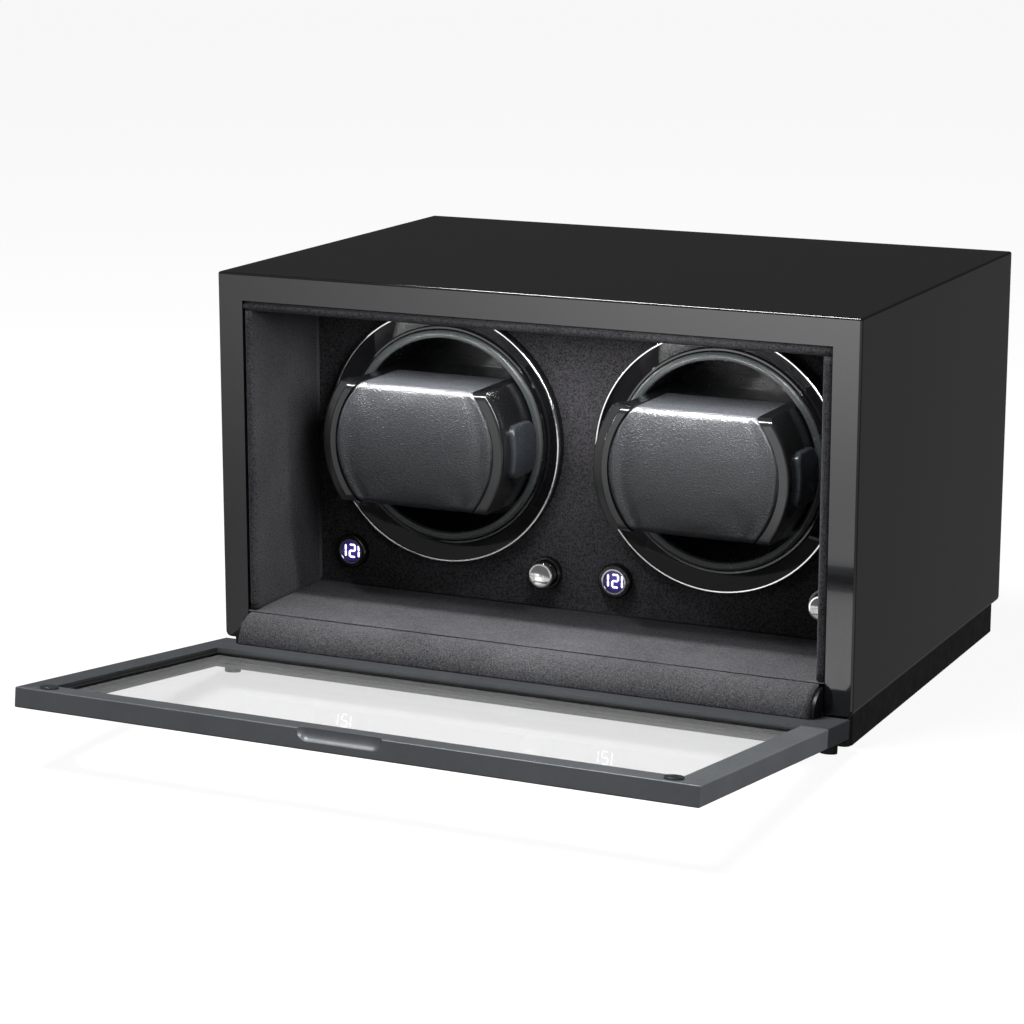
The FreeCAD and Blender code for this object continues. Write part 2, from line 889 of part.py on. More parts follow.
# Power inlet and the leads inside the case
def make_jack():
    flange_end = case_depth + jack_flange_thickness
    inner_end = flange_end - jack_length
    jack = rod_y(jack_radius, inner_end, case_depth, 0, jack_height)
    jack = jack.fuse(rod_y(jack_flange_radius, case_depth, flange_end, 0, jack_height))
    jack = jack.cut(rod_y(jack_bore_radius, flange_end - jack_bore_depth, flange_end, 0, jack_height))
    jack = jack.fuse(rod_y(jack_pin_radius, flange_end - jack_bore_depth, flange_end, 0, jack_height))
    save("power_jack", first_solid(jack.removeSplitter()))
    return inner_end


def bent_lead(points):
    """A round lead along straight runs joined by arcs of one radius."""
    edges = []
    start = points[0]
    for before, corner, after in zip(points, points[1:], points[2:]):
        back = (before - corner).normalize()
        ahead = (after - corner).normalize()
        bend_in = corner + back * lead_bend_radius
        bend_out = corner + ahead * lead_bend_radius
        inward = (back + ahead).normalize()
        middle = corner + inward * lead_bend_radius * (math.sqrt(2) - 1)
        edges.append(Part.makeLine(start, bend_in))
        edges.append(Part.Arc(bend_in, middle, bend_out).toShape())
        start = bend_out
    edges.append(Part.makeLine(start, points[-1]))
    path = Part.Wire(edges)
    section = Part.Wire(Part.makeCircle(lead_radius, points[0], points[1] - points[0]))
    return path.makePipeShell([section], True, False)


def make_leads(jack_inner_end):
    """One lead from the power inlet to the board, and one from each motor by way of the floor."""
    low = floor_thickness + lead_radius + lead_rise
    fall_y = motor_end + lead_bend_radius + lead_radius
    rise_y = board_back + lead_tail
    leads = [bent_lead([V(0, jack_inner_end, jack_height), V(0, board_back, jack_height)])]
    for _, sign in SIDES:
        x = sign * (rotor_x - centre_distance)
        leads.append(
            bent_lead(
                [
                    V(x, motor_end, rotor_z),
                    V(x, fall_y, rotor_z),
                    V(x, fall_y, low),
                    V(x, rise_y, low),
                    V(x, rise_y, control_z),
                    V(x, board_back, control_z),
                ]
            )
        )
    save("inner_leads", *leads)


# Door: built lying flat about its hinge axis, inner face up, then tipped to rest
def hang(shape):
    placed = shape.copy()
    placed.rotate(V(0, 0, 0), X_AXIS, -door_tilt)
    placed.translate(V(0, axis_y, axis_z))
    return placed


def make_door():
    inner_end = -door_bottom_rail_width
    outer_end = -door_length
    window_end = outer_end + door_rail_width
    groove_low = door_back + groove_set_back
    groove_high = groove_low + glass_thickness + 2 * gasket_wall
    slab_block = box(-door_half, door_half, outer_end, 0, door_back, door_face)
    slab_block = rounded(
        slab_block,
        door_edge_radius,
        lambda c, b: near(abs(c.x), door_half) or near(c.y, outer_end) or near(c.y, 0),
    )
    opening = box(-window_half, window_half, window_end, inner_end, door_back, door_face)
    seat = box(
        -window_half - groove_depth,
        window_half + groove_depth,
        window_end - groove_depth,
        inner_end + groove_depth,
        groove_low,
        groove_high,
    )
    frame = slab_block.cut(opening).cut(seat).cut(finger_scoop()).cut(hinge_notches())

    low = door_back - door_thickness
    high = door_face + door_thickness
    top = prism_z(
        [
            (-door_half, outer_end),
            (door_half, outer_end),
            (window_half, window_end),
            (-window_half, window_end),
        ],
        low,
        high,
    )
    save("door_top_rail", hang(first_solid(frame.common(top))))
    bottom = box(-door_half, door_half, inner_end, door_thickness, low, high)
    save("door_bottom_rail", hang(first_solid(frame.common(bottom))))
    for side, sign in SIDES:
        rail = prism_z(
            [
                (sign * door_half, outer_end),
                (sign * door_half, inner_end),
                (sign * window_half, inner_end),
                (sign * window_half, window_end),
            ],
            low,
            high,
        )
        save(f"door_{side}_rail", hang(first_solid(frame.common(rail))))

    pane_half = window_half + groove_depth - gasket_wall
    pane = box(
        -pane_half,
        pane_half,
        window_end - groove_depth + gasket_wall,
        inner_end + groove_depth - gasket_wall,
        groove_low + gasket_wall,
        groove_high - gasket_wall,
    )
    save("door_glass", hang(pane))
    sight = box(
        -window_half + gasket_lip,
        window_half - gasket_lip,
        window_end + gasket_lip,
        inner_end - gasket_lip,
        groove_low,
        groove_high,
    )
    save("glazing_gasket", hang(first_solid(seat.cut(sight).cut(pane))))
    bumper_y = outer_end + door_rail_width / 2
    bumper = Part.makeCylinder(
        bumper_radius, bumper_thickness, V(door_half - bumper_inset, bumper_y, door_face), Z_AXIS
    )
    bumper = rounded(bumper, bumper_thickness / 3, lambda c, b: near(c.z, door_face + bumper_thickness))
    save("door_bumpers", *[hang(one) for one in mirrored_pair(bumper)])
    foot_place = V(door_half - foot_side_inset, -foot_back_inset, door_back - foot_height)
    foot = Part.makeCylinder(foot_radius, foot_height, foot_place, Z_AXIS)
    save("door_feet", *[hang(one) for one in mirrored_pair(foot)])


def finger_scoop():
    """The finger pull, as cut by a round-ended tool along the free edge."""
    y = -door_length - scoop_forward
    z = door_face - scoop_drop
    straight = scoop_width / 2 - math.sqrt(scoop_radius**2 - scoop_forward**2)
    tool = rod_x(scoop_radius, -straight, straight, y, z)
    for x in (-straight, straight):
        tool = tool.fuse(Part.makeSphere(scoop_radius, V(x, y, z)))
    return tool


# Hinges: a fixed knuckle and pin under the floor, and an arm on the door
def knuckle_outer():
    return opening_half - hinge_knuckle_inset


def arm_ends():
    outer = opening_half - hinge_arm_gap
    return outer - hinge_arm_thickness, outer


def hinge_notches():
    """Room in the bottom rail for the knuckles and the arms."""
    inner = knuckle_outer() - hinge_knuckle_width - hinge_notch_gap
    notch = rod_x(hinge_knuckle_radius + hinge_notch_gap, inner, opening_half)
    return Part.makeCompound(mirrored_pair(notch))


def make_hinges():
    outer = knuckle_outer()
    inner = outer - hinge_knuckle_width
    arm_inner, arm_outer = arm_ends()
    bracket = rod_x(hinge_knuckle_radius, inner, outer, axis_y, axis_z)
    bracket = bracket.fuse(box(inner, outer, axis_y, floor_front, 0, hinge_plate_thickness))
    plate_front = plinth_end_inset
    bracket = bracket.fuse(
        box(outer - hinge_plate_length, outer, plate_front, floor_front, 0, hinge_plate_thickness)
    )
    bracket = bracket.cut(rod_x(hinge_pin_radius, inner, outer, axis_y, axis_z))
    save("hinge_brackets", *mirrored_pair(first_solid(bracket.removeSplitter())))
    pin = rod_x(hinge_pin_radius, inner, arm_outer, axis_y, axis_z)
    save("hinge_pins", *mirrored_pair(pin))

    arm = rod_x(hinge_arm_radius, arm_inner, arm_outer)
    keep = box(arm_inner, arm_outer, -hinge_arm_radius, 0, door_face, hinge_arm_radius)
    arm = arm.common(keep).fuse(rod_x(hinge_knuckle_radius, arm_inner, arm_outer))
    arm = arm.cut(rod_x(hinge_pin_radius + hinge_pin_clearance, arm_inner, arm_outer))
    save("hinge_arms", *[hang(one) for one in mirrored_pair(first_solid(arm.removeSplitter()))])


def apron_shell(outer, inner):
    """A curved cover round the hinge axis, from the door's inner face upwards."""
    half = arm_ends()[0] - apron_end_gap
    whole = rod_x(outer, -half, half).cut(rod_x(inner, -half, half))
    turn = math.radians(apron_angle)
    reach = 2 * outer
    upper = V(0, -reach * math.cos(turn), reach * math.sin(turn))
    corners = [
        V(-half, 0, 0),
        V(-half, 0, door_face),
        V(-half, -reach, door_face),
        V(-half, -reach, reach),
        upper + V(-half, 0, 0),
    ]
    sector = Part.Face(Part.makePolygon(corners + corners[:1])).extrude(V(2 * half, 0, 0))
    return first_solid(whole.common(sector))


def make_apron():
    middle = apron_radius - apron_suede_thickness
    save("apron_board", hang(apron_shell(middle, middle - apron_board_thickness)))
    save("apron_suede", hang(apron_shell(apron_radius, middle)))


os.makedirs("parts", exist_ok=True)
make_case()
make_linings()
make_fascia()
for side_name, side_sign in SIDES:
    centre_x = side_sign * rotor_x
    make_bezel(side_name, centre_x)
    make_housing(side_name, side_sign)
    make_rotor(side_name, centre_x)
    make_drive(side_name, side_sign)
    make_cushion(side_name, centre_x)
save("shaft_bushes", *[shaft_bush(sign * rotor_x) for _, sign in SIDES])
make_displays()
make_buttons()
make_board()
make_leads(make_jack())
make_door()
make_hinges()
make_apron()
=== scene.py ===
# %% [markdown]
# # A watch winder box
# The box is black lacquer outside and suede inside. Two rotors turn leather
# cushions that hold watches, and a framed glass door drops down in front.
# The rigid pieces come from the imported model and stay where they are. This
# lesson gives them their finishes, sews the soft pieces, and lights the set.

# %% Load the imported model
import json
import math

import bmesh
import bpy
from mathutils import Matrix, Vector, noise


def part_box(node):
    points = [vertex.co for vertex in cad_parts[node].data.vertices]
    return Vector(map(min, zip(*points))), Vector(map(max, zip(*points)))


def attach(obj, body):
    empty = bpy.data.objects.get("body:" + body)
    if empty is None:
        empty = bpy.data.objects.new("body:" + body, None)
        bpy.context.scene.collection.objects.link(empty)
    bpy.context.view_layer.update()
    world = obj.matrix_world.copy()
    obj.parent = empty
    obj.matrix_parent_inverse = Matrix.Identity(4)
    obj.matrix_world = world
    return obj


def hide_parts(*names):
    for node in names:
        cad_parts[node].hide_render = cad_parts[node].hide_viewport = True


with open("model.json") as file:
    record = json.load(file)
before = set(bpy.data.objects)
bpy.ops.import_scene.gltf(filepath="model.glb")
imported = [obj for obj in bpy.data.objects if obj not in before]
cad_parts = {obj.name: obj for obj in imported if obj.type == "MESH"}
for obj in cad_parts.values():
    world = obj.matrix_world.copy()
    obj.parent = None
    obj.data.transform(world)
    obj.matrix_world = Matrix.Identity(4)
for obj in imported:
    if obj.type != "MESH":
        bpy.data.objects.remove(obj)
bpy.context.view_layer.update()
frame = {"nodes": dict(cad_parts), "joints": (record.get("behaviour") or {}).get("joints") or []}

MM = 0.001
nodes = frame["nodes"]
print("pieces in the model:", len(nodes))

# %% [markdown]
# ## Camera
# The camera stands in front of the box, to its right and a little above it.
# A long lens keeps the edges of the case nearly parallel. Its place was solved
# from the corners of the case, so it is written down as numbers and not aimed
# by eye. A camera looks along its own -Z, so a level view starts from a
# quarter turn about X.


# %% Camera
def new_object(name, data):
    """An object that shows a mesh, a camera or a lamp."""
    made = bpy.data.objects.new(name, data)
    bpy.context.scene.collection.objects.link(made)
    return made


CAMERA_PLACE = (0.58858, -1.36956, 0.41634)
LOOK_DOWN, SWING_RIGHT = 0.22736, 0.44323
LENS_MM, SENSOR_MM = 105.906, 36.0
camera_data = bpy.data.cameras.new("camera")
camera_data.sensor_width = SENSOR_MM
camera_data.lens = LENS_MM
camera = new_object("camera", camera_data)
camera.location = CAMERA_PLACE
camera.rotation_euler = (math.pi / 2 - LOOK_DOWN, 0.0, SWING_RIGHT)
bpy.context.scene.camera = camera
print("camera at", CAMERA_PLACE, "with a lens of", LENS_MM, "mm")

# %% [markdown]
# ## Floor, sky and lamps
# Lacquer and chrome show what stands around them, so the set matters as much
# as the finishes. A white floor runs under the box. It glows a little, so that
# shadows on it stay faint, and it is left out of reflections. There the sky
# stands for it: bright below the horizon in front, as a white table top is, and
# dark behind, as an unlit room is. A card for each reflection could do the same,
# but a sky that changes with direction needs no more objects.
#
# The table is bright only in the directions in which the front frame mirrors it
# to the camera. That makes the frame pale, with the dark break low on its right,
# while the top and the side stay deep black. Seen by matt surfaces the sky is
# dimmer, so that the lamps give the shading. A long softbox overhead lights the
# door, the apron and the front of the chamber floor. Two weak ones fill in from
# the front, and they are kept out of reflections, where they would show as squares.

# %% Floor
FLOOR_REACH = 14.0
FLOOR_GREY, FLOOR_GLOW = 0.16, 0.93


def mesh_from(name, points, faces, smooth=True):
    mesh = bpy.data.meshes.new(name)
    mesh.from_pydata([tuple(p) for p in points], [], faces)
    mesh.update()
    if smooth:
        mesh.polygons.foreach_set("use_smooth", [True] * len(mesh.polygons))
    return mesh


corners = [(x * FLOOR_REACH, y * FLOOR_REACH, 0) for x, y in ((-1, -1), (1, -1), (1, 1), (-1, 1))]
floor_mesh = mesh_from("floor", corners, [(0, 1, 2, 3)])
floor = new_object("floor", floor_mesh)
floor_paint = bpy.data.materials.new("floor_paint")
floor_paint.use_nodes = True
paint = floor_paint.node_tree.nodes["Principled BSDF"]
paint.inputs["Base Color"].default_value = (FLOOR_GREY, FLOOR_GREY, FLOOR_GREY, 1)
paint.inputs["Roughness"].default_value = 1.0
paint.inputs["Specular IOR Level"].default_value = 0.0
paint.inputs["Emission Color"].default_value = (1, 1, 1, 1)
paint.inputs["Emission Strength"].default_value = FLOOR_GLOW
floor_mesh.materials.append(floor_paint)
floor.visible_diffuse = False
floor.visible_glossy = False
print("floor reaches", FLOOR_REACH, "m each way")

# %% Sky
world = bpy.data.worlds.new("studio")
bpy.context.scene.world = world
world.use_nodes = True
sky = world.node_tree
sky.nodes.clear()
direction = sky.nodes.new("ShaderNodeTexCoord")
parts = sky.nodes.new("ShaderNodeSeparateXYZ")
sky.links.new(direction.outputs["Generated"], parts.inputs[0])


def sky_ramp(part, start, stop, low, high):
    """A number from low to high as one part of the direction goes from start to stop."""
    ramp = sky.nodes.new("ShaderNodeMapRange")
    ramp.interpolation_type = "SMOOTHSTEP"
    limits = {"From Min": start, "From Max": stop, "To Min": low, "To Max": high}
    for key, value in limits.items():
        ramp.inputs[key].default_value = value
    sky.links.new(parts.outputs[part], ramp.inputs["Value"])
    return ramp.outputs["Result"]


def sky_mix(share, first, second):
    """The first value where share is 0, and the second where it is 1."""
    blend = sky.nodes.new("ShaderNodeMix")
    sky.links.new(share, blend.inputs[0])
    for socket, value in ((blend.inputs[2], first), (blend.inputs[3], second)):
        if isinstance(value, float):
            socket.default_value = value
        else:
            sky.links.new(value, socket)
    return blend.outputs[0]


def sky_times(first, second):
    product = sky.nodes.new("ShaderNodeMath")
    product.operation = "MULTIPLY"
    sky.links.new(first, product.inputs[0])
    sky.links.new(second, product.inputs[1])
    return product.outputs[0]


# %% Bright table in the reflections
# A ramp has the part of the direction, its start and stop, and its values there.
TABLE_ACROSS = ("X", -0.55, -0.3, 0.8, 2.7)
TABLE_DOWN = ("Z", -0.14, -0.235, 1.25, 0.62)
TABLE_END = ("Z", -0.295, -0.32, 1.0, 0.12)
TABLE_SIDE = ("X", -0.29, -0.2, 1.0, 0.25)
NEAR_SIDE = ("X", -0.45, -0.38, 0.0, 1.0)
NEAR_BRIGHT = ("Z", -0.247, -0.253, 1.0, 2.2)
MIDDLE_FROM = ("X", -0.485, -0.455, 0.0, 1.0)
MIDDLE_TO = ("X", -0.375, -0.345, 1.0, 0.0)
MIDDLE_DARK = ("Z", -0.2, -0.225, 1.0, 0.25)

table = sky_ramp(*TABLE_ACROSS)
for ramp_values in (TABLE_DOWN, TABLE_END, TABLE_SIDE):
    table = sky_times(table, sky_ramp(*ramp_values))
table = sky_times(table, sky_mix(sky_ramp(*NEAR_SIDE), 1.0, sky_ramp(*NEAR_BRIGHT)))
middle_share = sky_times(sky_ramp(*MIDDLE_FROM), sky_ramp(*MIDDLE_TO))
table = sky_times(table, sky_mix(middle_share, 1.0, sky_ramp(*MIDDLE_DARK)))
print("nodes that shape the table:", len(sky.nodes))

# %% Room around the table
ROOM_FRONT, ROOM_BACK, ROOM_BACK_LOW = 0.22, 0.044, 0.125
MATT_SHARE = 0.2
BELOW_HORIZON = ("Z", 0.06, -0.1, 0.0, 1.0)
IN_FRONT = ("Y", 0.15, -0.35, 0.0, 1.0)

below = sky_ramp(*BELOW_HORIZON)
front_half = sky_mix(below, ROOM_FRONT, table)
back_half = sky_mix(below, ROOM_BACK, ROOM_BACK_LOW)
room = sky_mix(sky_ramp(*IN_FRONT), back_half, front_half)
path = sky.nodes.new("ShaderNodeLightPath")
dimmed = sky_times(room, sky_mix(path.outputs["Is Diffuse Ray"], 1.0, MATT_SHARE))
around = sky.nodes.new("ShaderNodeBackground")
sky.links.new(dimmed, around.inputs["Strength"])
seen = sky.nodes.new("ShaderNodeBackground")
seen.inputs["Color"].default_value = (1, 1, 1, 1)
either = sky.nodes.new("ShaderNodeMixShader")
sky.links.new(path.outputs["Is Camera Ray"], either.inputs[0])
sky.links.new(around.outputs[0], either.inputs[1])
sky.links.new(seen.outputs[0], either.inputs[2])
sky_out = sky.nodes.new("ShaderNodeOutputWorld")
sky.links.new(either.outputs[0], sky_out.inputs[0])
bpy.context.scene.view_settings.view_transform = "Standard"
print("room is", ROOM_FRONT, "in front and", ROOM_BACK, "behind")


# %% Lamps
def softbox(name, place, target, width, height, watts):
    lamp_data = bpy.data.lights.new(name, "AREA")
    lamp_data.shape = "RECTANGLE"
    lamp_data.size = width
    lamp_data.size_y = height
    lamp_data.energy = watts
    lamp = new_object(name, lamp_data)
    lamp.location = place
    aim = Vector(target) - Vector(place)
    lamp.rotation_euler = aim.to_track_quat("-Z", "Y").to_euler()
    return lamp


BOX_MIDDLE = (0.0, -0.1, 0.1)
FILL_PLACES = {"front_left": (-1.2, -1.3, 0.6), "front_right": (1.1, -1.2, 0.6)}
softbox("overhead_strip", (-0.3, -0.42, 1.3), BOX_MIDDLE, width=0.8, height=0.08, watts=19.0)
for name, place in FILL_PLACES.items():
    fill = softbox(name, place, BOX_MIDDLE, width=0.6, height=0.6, watts=4.4)
    fill.visible_glossy = False

# %% [markdown]
# ## Finishes
# Every finish is one Principled shader fed by procedural textures, so it has
# the same grain from any side and at any distance. Pictures wrapped on the
# pieces would need unwrapping and would blur close up. Texture coordinates are
# the object's own, in metres: a noise scale of 1000 makes detail a millimetre
# across. A few small helpers keep the recipes short.


# %% Helpers for shaders and their nodes
def finish(name, **plain):
    """A material whose Principled sockets get the plain values given by name."""
    material = bpy.data.materials.new(name)
    material.use_nodes = True
    shader = material.node_tree.nodes["Principled BSDF"]
    for key, value in plain.items():
        socket = shader.inputs[key.replace("_", " ")]
        socket.default_value = (*value, 1.0) if isinstance(value, tuple) else value
    return material


def shader_of(material):
    return material.node_tree.nodes["Principled BSDF"]


def add(material, kind, **plain):
    node = material.node_tree.nodes.new(kind)
    for key, value in plain.items():
        node.inputs[key.replace("_", " ")].default_value = value
    return node


def link(material, source, target):
    material.node_tree.links.new(source, target)


def sums(material, operation, *values):
    """One step of arithmetic on fields and plain numbers."""
    node = add(material, "ShaderNodeMath")
    node.operation = operation
    for socket, value in zip(node.inputs, values):
        if isinstance(value, float):
            socket.default_value = value
        else:
            link(material, value, socket)
    return node.outputs[0]


# %% Helpers for fields
def own_place(material, stretch=None):
    """The point on the object, in metres, stretched where the grain has a direction."""
    place = add(material, "ShaderNodeTexCoord").outputs["Object"]
    if stretch is None:
        return place
    mapping = add(material, "ShaderNodeMapping", Scale=stretch)
    link(material, place, mapping.inputs["Vector"])
    return mapping.outputs["Vector"]


def grain(material, scale, detail=3.0, roughness=0.55, stretch=None):
    field = add(material, "ShaderNodeTexNoise", Scale=scale, Detail=detail, Roughness=roughness)
    link(material, own_place(material, stretch), field.inputs["Vector"])
    return field.outputs["Fac"]


def between(material, field, low, high, start=0.3, stop=0.7):
    """Turns a field into a number from low to high."""
    limits = {"From_Min": start, "From_Max": stop, "To_Min": low, "To_Max": high}
    span = add(material, "ShaderNodeMapRange", **limits)
    link(material, field, span.inputs["Value"])
    return span.outputs["Result"]


# %% Helpers for colour, gloss and relief
def tint(material, field, dark, light, start=0.3, stop=0.7):
    """Colours the surface from dark to light along a field."""
    ramp = add(material, "ShaderNodeValToRGB")
    ramp.color_ramp.elements[0].position = start
    ramp.color_ramp.elements[0].color = (*dark, 1)
    ramp.color_ramp.elements[1].position = stop
    ramp.color_ramp.elements[1].color = (*light, 1)
    link(material, field, ramp.inputs["Fac"])
    link(material, ramp.outputs["Color"], shader_of(material).inputs["Base Color"])


def gloss(material, field, low, high):
    """Sets the roughness from low to high along a field."""
    link(material, between(material, field, low, high), shader_of(material).inputs["Roughness"])


def relief(material, field, depth, under=None):
    """Raises the surface by a field, over another relief where one is given."""
    bump = add(material, "ShaderNodeBump", Distance=depth, Strength=1.0)
    link(material, field, bump.inputs["Height"])
    if under is not None:
        link(material, under, bump.inputs["Normal"])
    link(material, bump.outputs["Normal"], shader_of(material).inputs["Normal"])
    return bump.outputs["Normal"]


def paint_nodes(material, *names):
    """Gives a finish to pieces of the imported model."""
    for name in names:
        nodes[name].data.materials.clear()
        nodes[name].data.materials.append(material)


def both(stem):
    return [stem + "_left", stem + "_right"]


# %% [markdown]
# ### Lacquer and painted board
# Piano lacquer is a clear coat over a black ground. One glossy black would do
# from afar, but a coat over a duller ground gives the sharp reflection with a
# soft one under it that polished lacquer has. Polishing leaves a faint waviness,
# so the relief is only a few thousandths of a millimetre deep. The plinth has
# plain satin paint, and boards that nobody sees are left raw.

# %% Lacquer
lacquer = finish("black_lacquer", Coat_Weight=0.6, Coat_Roughness=0.03, IOR=1.5)
tint(lacquer, grain(lacquer, 35.0), (0.0074, 0.0074, 0.0088), (0.0086, 0.0086, 0.0102))
gloss(lacquer, grain(lacquer, 9.0, 2.0), 0.05, 0.1)
relief(lacquer, grain(lacquer, 60.0, 1.0), 0.005 * MM)
paint_nodes(lacquer, "case_top_panel", "case_left_panel", "case_right_panel", "case_rear_panel")
print("case finish:", lacquer.name)

# %% Painted and raw board
plinth_paint = finish("plinth_paint", Specular_IOR_Level=0.35)
tint(plinth_paint, grain(plinth_paint, 30.0), (0.006, 0.006, 0.007), (0.011, 0.011, 0.012))
gloss(plinth_paint, grain(plinth_paint, 140.0), 0.38, 0.5)
relief(plinth_paint, grain(plinth_paint, 1100.0, 2.0), 0.02 * MM)
paint_nodes(plinth_paint, "plinth_board")

raw_board = finish("raw_board", Specular_IOR_Level=0.2)
tint(raw_board, grain(raw_board, 500.0, 4.0), (0.2, 0.14, 0.09), (0.34, 0.26, 0.18))
gloss(raw_board, grain(raw_board, 300.0), 0.75, 0.9)
relief(raw_board, grain(raw_board, 1500.0, 3.0), 0.08 * MM)
paint_nodes(raw_board, "case_floor_panel", "case_cleats", "apron_board")
print("board finishes:", plinth_paint.name, raw_board.name)

# %% [markdown]
# ### Suede and felt
# Suede has a short nap. Seen along the nap it is lighter, which the sheen gives,
# and where a hand has brushed it there are paler and darker clouds. Hair strands
# would be far too many for cloth this fine, so three noises stand for it: one for
# the clouds, one for the fibres, and one for short brush strokes.

# %% Suede and felt
FIBRE_SHARE, CLOUD_SHARE = 0.84, 0.16


def suede(name, dark, light, sheen):
    cloth = finish(
        name,
        Roughness=1.0,
        Specular_IOR_Level=0.1,
        Sheen_Weight=sheen,
        Sheen_Roughness=0.45,
        Sheen_Tint=(0.9, 0.9, 1.0),
    )
    fibres = grain(cloth, 1400.0, 5.0, 0.65)
    strokes = grain(cloth, 420.0, 4.0, 0.6, stretch=(1.0, 1.0, 0.35))
    clouds = sums(cloth, "MULTIPLY", grain(cloth, 26.0, 3.0), CLOUD_SHARE)
    tint(cloth, sums(cloth, "MULTIPLY_ADD", fibres, FIBRE_SHARE, clouds), dark, light, 0.36, 0.64)
    under = relief(cloth, strokes, 0.35 * MM)
    relief(cloth, fibres, 0.3 * MM, under)
    return cloth


suede_charcoal = suede("suede_charcoal", (0.006, 0.0058, 0.0064), (0.066, 0.063, 0.069), 0.09)
# The next suede is the lining cloth again, painted lighter because the floor pad and apron sit in
# brighter light: a painted-light copy, not a second cloth.
suede_grey = suede("suede_grey", (0.0135, 0.0135, 0.0145), (0.083, 0.083, 0.088), 0.1)
paint_nodes(suede_charcoal, "fascia_panel")

felt = finish("base_felt", Roughness=1.0, Specular_IOR_Level=0.1, Sheen_Weight=0.2)
tint(felt, grain(felt, 900.0, 6.0), (0.008, 0.008, 0.008), (0.03, 0.03, 0.03))
relief(felt, grain(felt, 1300.0, 6.0), 0.6 * MM)
paint_nodes(felt, "base_felt")
print("cloth finishes:", suede_charcoal.name, suede_grey.name, felt.name)

# %% [markdown]
# ### Chrome, steel and brass
# Bright metal needs little more than a mirror, but a perfect mirror looks false:
# real plating has a fine haze, and drawn steel has fine lines along it. So each
# metal gets a slightly uneven gloss. The door frame is anodised aluminium: grey,
# satin, with a very fine blasted grain.

# %% Bright metals
chrome = finish("chrome_plate", Metallic=1.0)
tint(chrome, grain(chrome, 200.0), (0.78, 0.77, 0.76), (0.86, 0.85, 0.84))
gloss(chrome, grain(chrome, 350.0), 0.05, 0.11)
relief(chrome, grain(chrome, 900.0, 1.0), 0.004 * MM)
paint_nodes(chrome, *both("bezel_ring"), "display_trims", *both("mode_button"))

steel = finish("bright_steel", Metallic=1.0)
tint(steel, grain(steel, 120.0), (0.42, 0.42, 0.43), (0.56, 0.56, 0.57))
gloss(steel, grain(steel, 700.0, 3.0, 0.6, stretch=(1.0, 0.05, 1.0)), 0.25, 0.4)
relief(steel, grain(steel, 1800.0, 2.0, 0.5, stretch=(1.0, 0.04, 1.0)), 0.02 * MM)
paint_nodes(steel, "board_stand_offs", "hinge_pins", *both("rotor_shaft"), *both("gear_motor"))

bush_metal = finish("bush_metal", Metallic=1.0)
tint(bush_metal, grain(bush_metal, 300.0, 4.0), (0.42, 0.28, 0.12), (0.56, 0.41, 0.2))
gloss(bush_metal, grain(bush_metal, 900.0), 0.3, 0.5)
relief(bush_metal, grain(bush_metal, 2500.0, 2.0), 0.03 * MM)
paint_nodes(bush_metal, "shaft_bushes")
print("bright metals:", chrome.name, steel.name, bush_metal.name)

# %% Dark metals
black_steel = finish("black_steel", Metallic=0.4, Specular_IOR_Level=0.4)
tint(black_steel, grain(black_steel, 90.0), (0.008, 0.008, 0.009), (0.016, 0.016, 0.018))
gloss(black_steel, grain(black_steel, 500.0), 0.28, 0.42)
relief(black_steel, grain(black_steel, 1500.0, 2.0), 0.02 * MM)
paint_nodes(black_steel, "hinge_brackets", "hinge_arms", "rear_panel_screws")

gunmetal = finish("gunmetal_anodised", Metallic=0.35, Specular_IOR_Level=0.5)
tint(gunmetal, grain(gunmetal, 40.0), (0.1, 0.108, 0.116), (0.118, 0.126, 0.135))
gloss(gunmetal, grain(gunmetal, 800.0, 4.0), 0.36, 0.46)
relief(gunmetal, grain(gunmetal, 2600.0, 3.0), 0.03 * MM)
paint_nodes(gunmetal, "door_top_rail", "door_bottom_rail", "door_left_rail", "door_right_rail")
print("dark metals:", black_steel.name, gunmetal.name)

# %% [markdown]
# ### Plastics and rubber
# The bezels and collars are polished black, and the rotors and cushion ends are
# satin. Moulded pieces share one recipe, with their own colour, gloss and depth
# of pits. Each rotor's rim also carries fine lines round its axis. Modelled lines
# would be thousands of faces, so they come from the distance to the axis, run
# through a sine wave.


# %% Moulded pieces
def moulding(name, dark, light, low, high, pits=0.02 * MM):
    plastic = finish(name, Specular_IOR_Level=0.5)
    tint(plastic, grain(plastic, 60.0), dark, light)
    gloss(plastic, grain(plastic, 260.0), low, high)
    relief(plastic, grain(plastic, 1600.0, 2.0), pits)
    return plastic


bezel_black = moulding(
    "bezel_black", (0.004, 0.004, 0.0045), (0.007, 0.007, 0.008), 0.03, 0.07, pits=0.003 * MM
)
shader_of(bezel_black).inputs["IOR"].default_value = 1.7
paint_nodes(bezel_black, *both("bezel_disc"), "display_bezels", "button_collars")
cushion_black = moulding(
    "cushion_black", (0.006, 0.0063, 0.007), (0.009, 0.0094, 0.0102), 0.2, 0.25, pits=0.0004 * MM
)
shader_of(cushion_black).inputs["Coat Weight"].default_value = 0.5
shader_of(cushion_black).inputs["Coat Roughness"].default_value = 0.1
paint_nodes(cushion_black, *both("cushion_frame"))
tab_grey = moulding("tab_grey", (0.028, 0.0325, 0.0385), (0.034, 0.0395, 0.047), 0.26, 0.32)
paint_nodes(tab_grey, *both("release_tab"))
housing_black = moulding("housing_black", (0.01, 0.01, 0.01), (0.016, 0.016, 0.016), 0.5, 0.7)
paint_nodes(housing_black, *both("rotor_housing"))
gear_white = moulding("gear_white", (0.66, 0.65, 0.6), (0.74, 0.73, 0.68), 0.4, 0.55)
paint_nodes(gear_white, *both("rotor_gear"), *both("motor_pinion"))
rubber = moulding(
    "soft_rubber", (0.006, 0.006, 0.006), (0.012, 0.012, 0.012), 0.5, 0.7, pits=0.06 * MM
)
paint_nodes(rubber, "glazing_gasket", "door_feet", "inner_leads")
